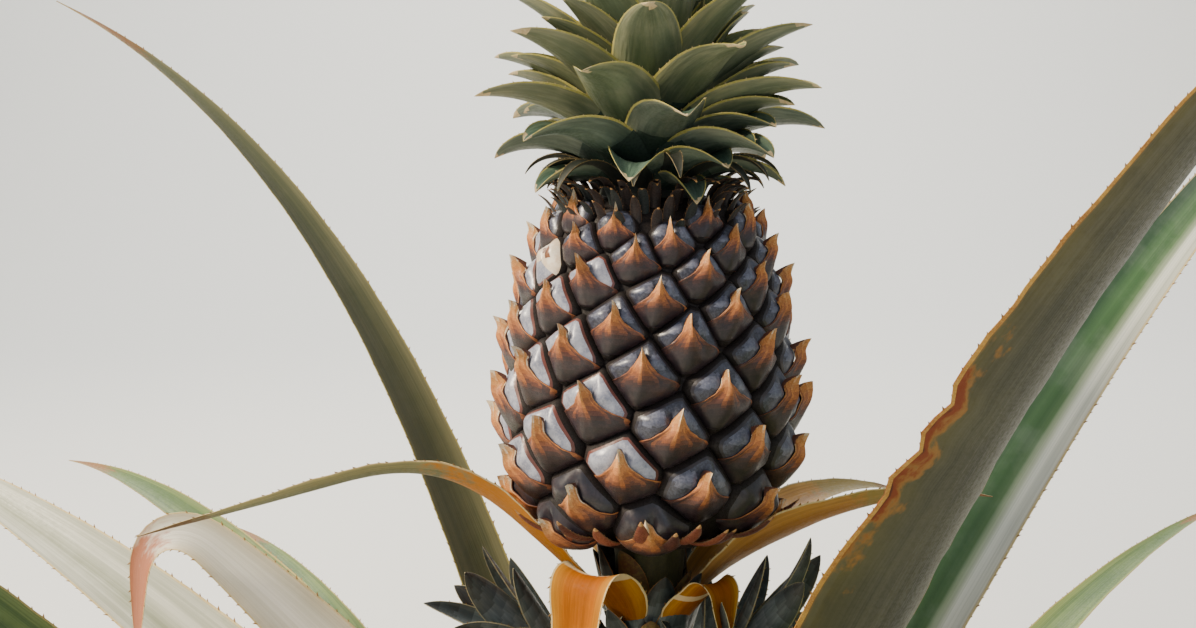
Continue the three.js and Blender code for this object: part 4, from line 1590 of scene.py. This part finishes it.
@dataclass
class Fruit:
    """The fruit: flesh, an eye for each flower, and rings of small leaves above and below."""

    eyes: int = 93
    lowest: float = 8.0
    phase: float = 79.5
    rise_at_foot: float = 2.05
    rise_at_top: float = 0.64
    unevenness: float = 2.6
    bleached_side: float = 217.0
    bleached_height: float = 117.0
    directions: int = 40
    widest_cell: float = 0.66
    flesh_depth: float = 1.0
    around: int = 96
    skin: FruitSkin = field(default_factory=FruitSkin)

    def __post_init__(self) -> None:
        """Deal the eyes out round and up the flesh, and choose the bleached one."""
        skin, number = self.skin, np.arange(self.eyes, dtype=float)
        easing = (self.rise_at_foot - self.rise_at_top) / (2.0 * self.eyes)
        self.turns = np.radians(self.phase + number * GOLDEN_TURN)
        self.heights = FRUIT_BASE + self.lowest + self.rise_at_foot * number - easing * number ** 2
        climb = self.rise_at_foot - 2.0 * easing * number
        radius = np.interp(np.interp(self.heights, skin.height, skin.run), skin.run, skin.radius)
        beside = (1.0 - np.cos(self.turns - radians(self.bleached_side))) * radius
        above = np.abs(self.heights - (FRUIT_BASE + self.bleached_height))
        self.bleached = int(np.argmin(beside + above))
        shift = np.array([[scatter(k, 21.0), scatter(k, 22.0)] for k in range(self.eyes)]) - 0.5
        self.turns = self.turns + shift[:, 0] * self.unevenness / radius
        self.heights = self.heights + shift[:, 1] * self.unevenness
        self.runs = np.interp(self.heights, skin.height, skin.run)
        self.radii = np.interp(self.runs, skin.run, skin.radius)
        self.spacing = np.sqrt(FULL_TURN * self.radii * climb)

    def cell(self, eye: int) -> Array:
        """Find how far an eye reaches in each direction before it meets its neighbours.

        Args:
            eye: The eye's number.

        Returns:
            The reach in millimetres, by direction.
        """
        turn = self.turns - self.turns[eye]
        beside = np.arctan2(np.sin(turn), np.cos(turn)) * self.radii[eye]
        above = self.runs - self.runs[eye]
        gap = np.hypot(beside, above)
        near = (gap > 1.0) & (gap < 3.2 * self.spacing[eye])
        angle = np.arange(self.directions) * FULL_TURN / self.directions
        facing = np.cos(angle)[:, None] * beside[near] + np.sin(angle)[:, None] * above[near]
        halfway = gap[near] ** 2 / 2.0 / np.maximum(facing, 1e-6)
        reach = np.where(facing > 1e-6, halfway, np.inf).min(axis=1)
        return np.minimum(reach, self.widest_cell * self.spacing[eye])

    def add_collar(self, draft: MeshDraft, at: Collar) -> None:
        """Add a ring of small pointed leaves round the fruit.

        Args:
            draft: The mesh that takes them.
            at: The ring's sizes.
        """
        maker = BladeBuild(rows=14, columns=6, thickness=0.9, margin=0.1, spine_every=2.6,
                           spine_length=0.8)
        for place in range(at.count):
            run = at.low + (at.high - at.low) * place / at.count
            shape = LeafShape(
                azimuth=at.phase + place * GOLDEN_TURN,
                rise=at.rise + 14.0 * scatter(place, at.salt), droop=at.droop, bend=1.3,
                length=at.length * (0.75 + 0.5 * scatter(place, 8.0)), width=at.width,
                channel=0.8, outline=Outline.LANCE, sweep=24.0 * (scatter(place, 2.0) - 0.5))
            seat = self.skin.place(radians(shape.azimuth), run, -1.0)
            tone = at.tone + int(scatter(place, 6.0) * 2.0)
            maker.add_to(draft, shape, seat, place, BladeSlots(
                tone, tone, CollarTone.EDGE, CollarTone.TIP, CollarTone.TIP, 0.9))

    def build(self, book: FinishBook) -> None:
        """Build the flesh, the eyes, the bracts and the rings of small leaves.

        Args:
            book: The finishes.
        """
        flesh, domes, bracts, collars = (MeshDraft() for _ in range(4))
        end = float(self.skin.run[-1])
        for ring in (
            Collar(44, end - 19.0, end - 9.0, rise=66.0, droop=40.0, length=11.0, width=4.4,
                   phase=9.0, salt=3.0),
            Collar(34, end - 9.0, end - 3.0, rise=64.0, droop=70.0, length=14.0, width=4.4,
                   phase=21.0, salt=1.0),
            Collar(24, end - 3.0, end - 1.0, rise=62.0, droop=96.0, length=18.0, width=4.6,
                   phase=60.0, salt=2.0),
            Collar(30, 2.0, 10.0, rise=-2.0, droop=-50.0, length=26.0, width=8.0, phase=35.0,
                   salt=4.0, tone=CollarTone.FOOT),
        ):
            self.add_collar(collars, ring)
        runs = self.skin.run[::2]
        turn, tall = np.meshgrid(np.linspace(0.0, FULL_TURN, self.around, endpoint=False), runs)
        coords = np.stack([turn / FULL_TURN, tall / runs[-1]], axis=-1)
        points = self.skin.place(turn, tall, -self.flesh_depth)
        flesh.add_rings(points[:, ::-1], 0, coords[:, ::-1], caps=True)
        for number in range(self.eyes):
            eye = Eye(number, self.turns[number], self.runs[number], self.radii[number],
                      self.spacing[number], self.heights[number] - FRUIT_BASE, self.cell(number),
                      self.skin, number == self.bleached)
            eye.add_dome(domes)
            if not eye.bleached:
                eye.add_bract(bracts)
        # Near-black painted shade in the gaps between the eyes.
        gap = book.skin("eye_gap_shade", "17100f", "241816", "0d0909", roughness=0.7)
        sepals = [
            book.skin(*colours, cloud_strength=0.7, grain_strength=0.22, cloud_scale=200.0,
                      grain_scale=1100.0, roughness=0.4, specular=0.5, coat=0.25, bump=0.2)
            for colours in SEPAL_COLOURS
        ]
        papers = [
            book.skin(f"bract_{step}", code, mixed(code, "7a5a50", 0.35),
                      mixed(code, "1e1618", 0.4), cloud_scale=300.0, grain_scale=1800.0,
                      roughness=0.42 + 0.03 * step, specular=0.45,
                      coat=max(0.0, 0.2 - 0.04 * step), bump=0.35)
            for step, code in enumerate(BRACT_LADDER)
        ]
        rings = [
            book.skin(*colours, grain_strength=0.4, cloud_scale=220.0, grain_scale=1500.0,
                      roughness=0.55)
            for colours in COLLAR_COLOURS
        ]
        # The flesh seen between the eyes takes the gap's painted shade.
        flesh.build("fruit_flesh", [gap], ["fruit"], "fruit")
        domes.build("fruit_eyes", [gap, *sepals], ["fruit"], "fruit")
        collars.build("fruit_shoulder", rings, ["fruit"], "fruit")
        bracts.build("fruit_bracts", papers, ["fruit"], "fruit")


class CrownTone(IntEnum):
    """The crown's material slots; each upper face has its lower face after it."""

    LOW_BLADE = 0
    HIGH_BLADE = 2
    EDGE = 4
    TIP = 5
    CUFF = 6
    CUFF_RIM = 7
    # Painted shade at the feet of the leaves.
    SHADED_ROOT = 8


# Each row is a finish's name with its rim, base, deep, streak, cloud and variant colours.
CROWN_COLOURS = (
    ("crown_low_upper", "7d8d70", "4f6b5c", "40594d", "273c34", "6d8276", "54604e"),
    ("crown_low_lower", "8b9278", "5a6e60", "4b6052", "34463c", "84907f", "6a655a"),
    ("crown_high_upper", "a3a866", "6b7e5a", "576d4e", "3f533a", "93996e", "7a774e"),
    ("crown_high_lower", "9d9b6e", "707c60", "616f54", "495842", "96967c", "80775c"),
)


@dataclass
class Crown:
    """The leafy crown on the fruit: broad channelled leaves on a short tapering core."""

    rule_leaves: int = 46
    phase: float = 16.4
    low_width: float = 20.0
    swell: float = 12.0
    low_narrowing: float = 0.42
    seat_foot: float = 1.5
    seat_top: float = 8.5
    inner_leaves: int = 30
    inner_from: float = 5.5
    inner_step: float = 1.35
    cuff_leaves: int = 17
    core_rows: int = 24
    core_around: int = 40

    def __post_init__(self) -> None:
        """Set the core's profile."""
        self.core = ((CROWN_CORE_RADIUS, CROWN_FOOT),
                     (CROWN_CORE_RADIUS * 0.28, CROWN_FOOT + CROWN_CORE_HEIGHT))

    def leaf(self, place: float) -> LeafShape:
        """Give the shape of a leaf by the rule of the solids.

        Args:
            place: The leaf's place from 0 at the crown's foot; the solids have the whole ones.

        Returns:
            The shape.
        """
        height = place / (self.rule_leaves - 1)
        spread = sin(pi / 2.0 * min(1.0, height * 2.2))
        width = self.low_width + self.swell * sin(pi * min(1.0, height * 0.85 + 0.12))
        seats = CROWN_CORE_HEIGHT - self.seat_top - self.seat_foot
        return LeafShape(
            azimuth=self.phase + place * GOLDEN_TURN,
            rise=28.0 + 42.0 * height + 16.0 * height ** 4,
            droop=30.0 + 55.0 * (1.0 - height) ** 2.2 - 22.0 * height ** 6, bend=1.2,
            sweep=6.0 * sin(place * 1.9), twist=8.0 * sin(place * 2.3),
            length=24.0 + 40.0 * spread + 45.0 * height ** 8,
            width=width * (1.0 - self.low_narrowing * max(0.0, 1.0 - height * 5.0)),
            channel=1.0, seat=CROWN_FOOT + (self.seat_foot + seats * height ** 1.37),
            outline=Outline.LANCE)

    def inner_leaf(self, place: int) -> LeafShape:
        """Give the shape of a shorter, steeper leaf between those of the rule."""
        base = self.leaf(self.inner_from + place * self.inner_step)
        return replace(base, azimuth=base.azimuth + 63.0, length=base.length * 0.84,
                       rise=min(base.rise + 8.0, 86.0))

    def cuff_leaf(self, place: int) -> LeafShape:
        """Give the shape of a small dark leaf that curls down under the crown."""
        return LeafShape(
            azimuth=70.0 + place * GOLDEN_TURN, rise=44.0 + 14.0 * scatter(place, 3.0),
            droop=112.0, bend=1.5, length=31.0 + 12.0 * scatter(place, 5.0), width=8.0,
            channel=0.9, seat=CROWN_FOOT + (0.6 + 5.0 * place / self.cuff_leaves),
            outline=Outline.LANCE)

    def build(self, book: FinishBook) -> None:
        """Build the crown's core and leaves.

        Args:
            book: The finishes.
        """
        draft = MeshDraft()
        tall, turn = limb_grid(self.core[0][1], self.core[1][1], self.core_rows, self.core_around)
        radius = radius_at(self.core, tall) - 0.5 + 0.4 * np.sin(turn * 9.0 + tall)
        draft.add_limb(tall, turn, radius, CROWN_CORE_HEIGHT, CrownTone.CUFF)
        maker = BladeBuild(rows=22, columns=8, thickness=1.5, ripple=0.01, spine_every=3.6,
                           spine_length=1.2)
        shapes = {place: self.leaf(place) for place in range(self.rule_leaves)}
        for place in range(self.inner_leaves):
            shapes[60 + place] = self.inner_leaf(place)
        for number, shape in shapes.items():
            high = shape.seat - CROWN_FOOT > 12.0 + 10.0 * scatter(number, 9.0)
            tone = CrownTone.HIGH_BLADE if high else CrownTone.LOW_BLADE
            # Painted shade: the foot of each leaf, up to about a quarter of its length, takes the
            # dark root tone, where the leaves shade one another.
            maker.add_round(draft, shape, self.core, number, BladeSlots(
                tone, tone + 1, CrownTone.EDGE, CrownTone.TIP, tip=CrownTone.TIP, tip_from=0.93,
                root=CrownTone.SHADED_ROOT, shaded_root_to=0.24, ragged=0.06))
        slots = BladeSlots(CrownTone.CUFF, CrownTone.CUFF, CrownTone.CUFF_RIM, CrownTone.TIP)
        for place in range(self.cuff_leaves):
            maker.add_round(draft, self.cuff_leaf(place), self.core, 90 + place, slots)
        blades = [
            BladeFinish(name, evenly(rim, base, deep, base, rim), streak=Touch(streak, 0.6),
                        cloud=Touch(cloud, 0.5), variant=Touch(variant, 0.5), zones=(),
                        lines=26.0, roughness=0.46, specular=0.45, bump=0.5).material(book.shared)
            for name, rim, base, deep, streak, cloud, variant in CROWN_COLOURS
        ]
        # Painted shade for the feet of the crown's leaves.
        root = book.skin("crown_root_shade", "3a4d42", "4a5449", "27352d", grain_strength=0.4,
                         cloud_scale=90.0, grain_scale=900.0, roughness=0.55)
        edge = book.skin("crown_margin", "b0a552", "8f9048", "d3c48c", roughness=0.6)
        tip = book.skin("crown_tip", "cdb78c", "a98a5c", "e4d6b4", roughness=0.6)
        cuff = book.skin("crown_cuff", "262c27", "34332c", "464a40", roughness=0.6)
        rim = book.skin("crown_cuff_rim", "7a6a42", "5a4630", "a8946a", roughness=0.6)
        draft.build("crown_leaves", [*blades, edge, tip, cuff, rim, root], ["crown"],
                    "crown_leaf")


@dataclass(frozen=True)
class Slip:
    """A small leafy shoot that grows out of the stalk."""

    name: str
    azimuth: float
    seat: float
    rise: float
    length: float
    radius: float
    phase: float
    leaves: int = 20
    core_share: float = 0.95
    core_rows: int = 24
    core_around: int = 32
    tones: int = 6

    def leaf(self, place: int) -> LeafShape:
        """Give the shape of one leaf, with its seat's height up the shoot."""
        height = place / (self.leaves - 1)
        return LeafShape(
            azimuth=self.phase + place * GOLDEN_TURN, rise=38.0 + 44.0 * height,
            droop=12.0 + 8.0 * sin(place * 2.1), bend=1.2, length=30.0 + 12.0 * height,
            width=15.0, seat=self.length * (0.12 + 0.66 * height), channel=0.8,
            outline=Outline.LANCE)

    def stand(self) -> tuple[Array, Array]:
        """Work out how the shoot leans and where it meets the stalk.

        Returns:
            A 3 by 3 rotation and the place of the shoot's foot in metres.
        """
        rise, heading = radians(self.rise), radians(self.azimuth)
        tip = pi / 2.0 - rise
        lean = np.array([[cos(tip), 0.0, sin(tip)], [0.0, 1.0, 0.0],
                         [-sin(tip), 0.0, cos(tip)]])
        spin = np.array([[cos(heading), -sin(heading), 0.0],
                         [sin(heading), cos(heading), 0.0], [0.0, 0.0, 1.0]])
        foot = self.radius * 0.5
        out = radius_at(PEDUNCLE_PROFILE, self.seat + foot * cos(rise)) + CLEARANCE
        return spin @ lean, turned(heading, out + foot * sin(rise), self.seat)

    def build(self, book: FinishBook) -> None:
        """Build the shoot in its own frame and set it on the stalk.

        Args:
            book: The finishes.
        """
        core = ((self.radius * 0.5, 0.0), (self.radius, self.length * 0.25),
                (self.radius * 0.8, self.length * 0.6),
                (self.radius * 0.3, self.length * self.core_share))
        upright = MeshDraft()
        tall, turn = limb_grid(0.0, self.length * self.core_share, self.core_rows, self.core_around)
        upright.add_limb(tall, turn, radius_at(core, tall), self.length, slot=1)
        maker = BladeBuild(rows=26, columns=8, thickness=1.4, spine_every=3.6, spine_length=1.3)
        for place in range(self.leaves):
            shape = self.leaf(place)
            darker = int(scatter(place, self.phase) * 2.2)
            ladder = tuple(min(step + darker, self.tones - 1) for step in range(self.tones))
            slots = BladeSlots(margin=self.tones, spine=self.tones + 1, ragged=0.05, ladder=ladder)
            maker.add_round(upright, shape, core, place, slots)
        draft = MeshDraft()
        draft.absorb(upright, *self.stand())
        draft.build(self.name + "_shoot", [*book.slip_blades(), book.slip_edge, book.spine],
                    [self.name], "slip_leaf")


@dataclass(frozen=True)
class LongLeaf:
    """A long leaf of the rosette or the stalk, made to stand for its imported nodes."""

    name: str
    nodes: tuple
    shape: LeafShape
    kind: LeafKind
    profile: tuple
    slot: str
    number: int
    maker: BladeBuild = BladeBuild()

    def build(self, book: FinishBook) -> None:
        """Build the blade on its limb.

        Args:
            book: The finishes.
        """
        draft = MeshDraft()
        seat = self.shape.seat_on(self.profile)
        self.maker.add_to(draft, self.shape, seat, self.number, BladeSlots(scar=4))
        draft.build(self.name, book.blade_set(self.kind), list(self.nodes), self.slot)


@dataclass
class Foliage:
    """All the long leaves: those beside the fruit, those on the stalk, and the rosette."""

    rosette_count: int = 34
    taken: frozenset = frozenset({19, 23, 24, 26, 27, 28, 29, 31, 33})
    phase: float = 136.0
    dry_below: int = 5
    olive_below: int = 12
    silver_every: int = 7

    def beside_fruit(self) -> list[LongLeaf]:
        """List the leaves beside the fruit, each by azimuth, rise, droop, length, width and more.

        Returns:
            The leaves.
        """
        rows = (
            ("right_big", LeafKind.SHADED_OLIVE_BACK, LeafShape(
                -48.0, 67.3, 23.6, 598.0, 72.0, seat=240.0, bend=1.62, sweep=28.5, twist=-17.1,
                seat_share=0.8, torn=Tear(at=0.46, half=0.07, depth=0.16))),
            ("right_nested", LeafKind.SUN_BANDED, LeafShape(
                23.5, 58.2, 34.7, 625.0, 42.8, seat=222.7, bend=1.8, sweep=10.3, twist=40.9)),
            ("left_silver", LeafKind.SILVER, LeafShape(
                170.4, 62.5, 54.8, 480.0, 50.0, seat=186.6, bend=0.91, sweep=-26.0, twist=-40.7)),
            ("left_green", LeafKind.GREEN, LeafShape(
                209.8, 58.3, 20.0, 560.0, 43.6, seat=146.2, bend=1.2, sweep=-5.3, twist=-35.8)),
            ("left_bent", LeafKind.CREAM, LeafShape(
                188.0, 75.8, 44.2, 345.0, 42.0, seat=222.0, bend=0.8, sweep=-14.0, twist=-70.0,
                seat_share=0.62, fold=Fold(at=0.82, angle=120.0, over=0.14), split=0.825)),
            ("left_peach", LeafKind.PEACH, LeafShape(
                229.6, 79.2, 120.9, 390.0, 44.0, seat=248.6, bend=1.23, sweep=-19.4, twist=59.8,
                split=0.55)),
            ("back_left", LeafKind.DUSKY, LeafShape(
                131.0, 67.0, 41.5, 530.0, 31.0, seat=234.0, bend=2.5, sweep=40.0, twist=-20.0,
                seat_share=0.8, split=0.7)),
        )
        leaves = []
        for number, (name, kind, shape) in enumerate(rows):
            node = f"leaf_{name}"
            nodes = (node,) if shape.split >= 1.0 else (f"{node}_rise", f"{node}_fall")
            leaves.append(LongLeaf(f"blade_{name}", nodes, shape, kind, STEM_PROFILE,
                                   "pale_leaf", number, BladeBuild(rows=90, columns=14)))
        return leaves

    def on_stalk(self) -> list[LongLeaf]:
        """List the leaves on the stalk, some bent over and hanging down.

        Returns:
            The leaves.
        """
        rows = (
            ("bract_left_long", LeafKind.YELLOWING, LeafShape(
                194.6, 44.9, 0.0, 217.0, 28.0, seat=408.0, sweep=-17.3, twist=22.0, seat_share=0.4,
                fold=Fold(at=0.43, angle=60.0, over=0.4))),
            ("bract_front_left", LeafKind.FOLDED, LeafShape(
                238.0, 48.0, 10.0, 108.0, 33.0, seat=404.0, sweep=-4.0, seat_share=0.34,
                fold=Fold(at=0.4, angle=124.0, over=0.18))),
            ("bract_front_right", LeafKind.FOLDED, LeafShape(
                308.0, 50.0, 10.0, 66.0, 24.0, seat=402.0, seat_share=0.42,
                fold=Fold(at=0.56, angle=128.0, over=0.22))),
            ("bract_right", LeafKind.AMBER, LeafShape(
                -26.0, 50.0, 60.0, 140.0, 29.0, seat=410.0, bend=1.1, sweep=38.0, twist=-34.0,
                seat_share=0.38)),
            ("bract_back_right", LeafKind.AMBER, LeafShape(
                30.0, 50.0, 70.0, 140.0, 28.0, seat=406.0, bend=0.9, sweep=10.0, twist=10.0,
                seat_share=0.4)),
            ("bract_back_left", LeafKind.AMBER, LeafShape(
                112.0, 52.0, 85.0, 126.0, 27.0, seat=407.0, bend=0.9, sweep=-8.0, twist=-12.0,
                seat_share=0.4)),
        )
        maker = BladeBuild(thickness=1.1, ripple=0.03, spine_every=4.2, spine_length=2.1)
        return [
            LongLeaf(f"blade_{name}", (name,), shape, kind, PEDUNCLE_PROFILE, "folded_leaf",
                     20 + number, maker)
            for number, (name, kind, shape) in enumerate(rows)
        ]

    def rosette(self) -> list[LongLeaf]:
        """List the rosette's leaves from the lowest up, by the rule of the solids.

        Returns:
            The leaves.
        """
        leaves = []
        for place in range(self.rosette_count):
            if place in self.taken:
                continue
            age = place / (self.rosette_count - 1)
            swell = sin(pi * min(age * 0.95 + 0.08, 1.0))
            shape = LeafShape(
                azimuth=self.phase + place * GOLDEN_TURN, rise=31.0 + 43.0 * age ** 0.9,
                droop=38.0 + 40.0 * age + 6.0 * sin(place * 2.4),
                length=330.0 + 190.0 * swell, width=36.0 + 9.0 * sin(pi * age),
                seat=20.0 + 224.0 * age, bend=1.3, sweep=8.0 * sin(place * 1.7),
                twist=14.0 * sin(place * 2.9))
            kind = LeafKind.SILVER if place % self.silver_every == 4 else LeafKind.GREEN
            if place < self.olive_below:
                kind = LeafKind.DRY if place < self.dry_below else LeafKind.OLIVE
            slot = "dry_leaf" if kind is LeafKind.DRY else "rosette_leaf"
            name = f"{place:02d}"
            leaves.append(LongLeaf(f"blade_{name}", (f"leaf_{name}",), shape, kind,
                                   STEM_PROFILE, slot, 40 + place))
        return leaves

    def build(self, book: FinishBook) -> None:
        """Build every long leaf."""
        for leaf in [*self.beside_fruit(), *self.on_stalk(), *self.rosette()]:
            leaf.build(book)


@dataclass
class Skirt:
    """The dry leaves that lie low round the stem's foot, in fans."""

    fans: int = 3
    leaves: int = 3
    foot: float = 2.0
    depth: float = 7.0
    sunk: float = 3.0
    torn_lift: float = 1.5
    torn_rise: float = 9.0
    torn_length: float = 0.42

    def leaf(self, fan: int, place: int) -> LeafShape:
        """Give the shape of one leaf of a fan; those past the full number are torn and short.

        Args:
            fan: The fan's number.
            place: The leaf's number in the fan.

        Returns:
            The shape, with its seat's height.
        """
        torn, step = place >= self.leaves, place % self.leaves
        item = fan * self.leaves + step
        return LeafShape(
            azimuth=(fan + (step + (0.98 if torn else 0.5)) / self.leaves) * 360.0 / self.fans,
            rise=10.0 + 9.0 * (step % 2) + (self.torn_rise if torn else 0.0),
            droop=10.0 + 8.0 * (step % 2),
            length=(190.0 + 40.0 * sin(item * 1.9)) * (self.torn_length if torn else 1.0),
            width=24.0, seat=self.foot + self.depth / 2.0 + (self.torn_lift if torn else 0.0),
            sweep=8.0 * sin(item * 2.1), twist=10.0 * sin(item * 1.3), channel=0.35,
            seat_share=0.7)

    def build(self, book: FinishBook) -> None:
        """Build each fan of dry leaves with shorter torn ones between.

        Args:
            book: The finishes.
        """
        out = radius_at(STEM_PROFILE, self.foot) + CLEARANCE - self.sunk
        maker = BladeBuild(rows=40, columns=8, thickness=1.2, ripple=0.05, spine_every=6.0,
                           spine_length=1.8)
        for fan in range(self.fans):
            draft = MeshDraft()
            for place in range(2 * self.leaves):
                shape = self.leaf(fan, place)
                seat = turned(radians(shape.azimuth), out, shape.seat)
                maker.add_to(draft, shape, seat, 80 + fan * 8 + place, BladeSlots())
            draft.build(f"skirt_fan_{fan + 1}", book.blade_set(LeafKind.DRY),
                        [f"skirt_{fan + 1}"], "dry_leaf")


@dataclass
class Studio:
    """The pale floor and backdrop, the soft lights and the camera."""

    half_width: float = 16.0
    front: float = -16.0
    back: float = 3.2
    bend_radius: float = 1.4
    bend_steps: int = 24
    wall_height: float = 5.0
    middle: tuple = (0.0, 0.0, 0.5)
    wall_aim: tuple = (0.0, 4.6, 0.9)
    sky_strength: float = 0.62
    lens: float = 50.0
    sensor: float = 36.0
    eye: tuple = (-0.021, -0.660, 0.622)
    tilt: float = 82.0

    def floor(self) -> None:
        """Build the floor, curved up into a backdrop."""
        bend = [
            (self.back + self.bend_radius * sin(a), self.bend_radius * (1.0 - cos(a)))
            for a in np.linspace(0.0, pi / 2.0, self.bend_steps)
        ]
        line = [(self.front, 0.0), *bend, (self.back + self.bend_radius, self.wall_height)]
        points = [(x, y, z) for y, z in line for x in (-self.half_width, self.half_width)]
        faces = [(2 * k, 2 * k + 1, 2 * k + 3, 2 * k + 2) for k in range(len(line) - 1)]
        mesh = bpy.data.meshes.new("studio_floor")
        mesh.from_pydata(points, [], faces)
        mesh.polygons.foreach_set("use_smooth", [True] * len(faces))
        material, _, shader = start_material("studio_floor", 0.9, 0.1)
        shader.inputs["Base Color"].default_value = rgba("efeee9")
        mesh.materials.append(material)
        floor = bpy.data.objects.new("studio_floor", mesh)
        bpy.context.collection.objects.link(floor)

    def light(self, name: str, place: tuple, aim: tuple, size: float, power: float,
              tint: str) -> None:
        """Hang a soft light.

        Args:
            name: The light's name.
            place: Where it hangs.
            aim: The point that it faces.
            size: The side of its square.
            power: Its power in watts.
            tint: Its colour.
        """
        data = bpy.data.lights.new(name, "AREA")
        data.size = size
        data.energy = power
        data.color = rgba(tint)[:3]
        lamp = bpy.data.objects.new(name, data)
        lamp.location = place
        east, north, up = np.array(place) - np.array(aim)
        heading = math.atan2(north, east) + pi / 2.0
        lamp.rotation_euler = (math.atan2(math.hypot(east, north), up), 0.0, heading)
        bpy.context.collection.objects.link(lamp)

    def sky(self) -> None:
        """Set the pale light from all round."""
        world = bpy.data.worlds.new("studio")
        world.use_nodes = True
        background = world.node_tree.nodes["Background"]
        background.inputs["Color"].default_value = rgba("e6ebf0")
        background.inputs["Strength"].default_value = self.sky_strength
        bpy.context.scene.world = world

    def camera(self) -> None:
        """Set the camera at the photograph's angle."""
        data = bpy.data.cameras.new("camera")
        data.lens = self.lens
        data.sensor_width = self.sensor
        data.sensor_fit = "HORIZONTAL"
        data.clip_start = 0.01
        camera = bpy.data.objects.new("camera", data)
        camera.location = self.eye
        camera.rotation_euler = (radians(self.tilt), 0.0, 0.0)
        bpy.context.collection.objects.link(camera)
        bpy.context.scene.camera = camera

    def build(self) -> None:
        """Set up the floor, the lights, the sky and the camera."""
        self.floor()
        self.light("key", (-1.5, -0.35, 1.75), self.middle, 0.45, 88.0, "ffefd4")
        self.light("fill", (1.6, -1.7, 1.2), self.middle, 1.8, 8.0, "e6edff")
        self.light("back", (-0.6, 1.9, 1.9), self.middle, 1.2, 26.0, "fff4e2")
        self.light("backdrop", (0.0, 2.6, 3.2), self.wall_aim, 2.4, 150.0, "fbfaf6")
        self.sky()
        self.camera()


def main() -> None:
    """Build the studio and every sub-assembly of the plant."""
    logging.basicConfig(level=logging.INFO, format="%(message)s")
    Studio().build()
    book = FinishBook()
    Stem().build(book)
    Peduncle().build(book)
    Fruit().build(book)
    Crown().build(book)
    for slip in (
        Slip("slip_left", 193.0, 368.0, rise=42.0, length=62.0, radius=15.0, phase=20.0),
        Slip("slip_right", -27.0, 370.0, rise=45.0, length=62.0, radius=15.0, phase=75.0),
        Slip("slip_back", 80.0, 366.0, rise=46.0, length=56.0, radius=14.0, phase=140.0),
    ):
        slip.build(book)
    Foliage().build(book)
    Skirt().build(book)


if __name__ == "__main__":
    main()
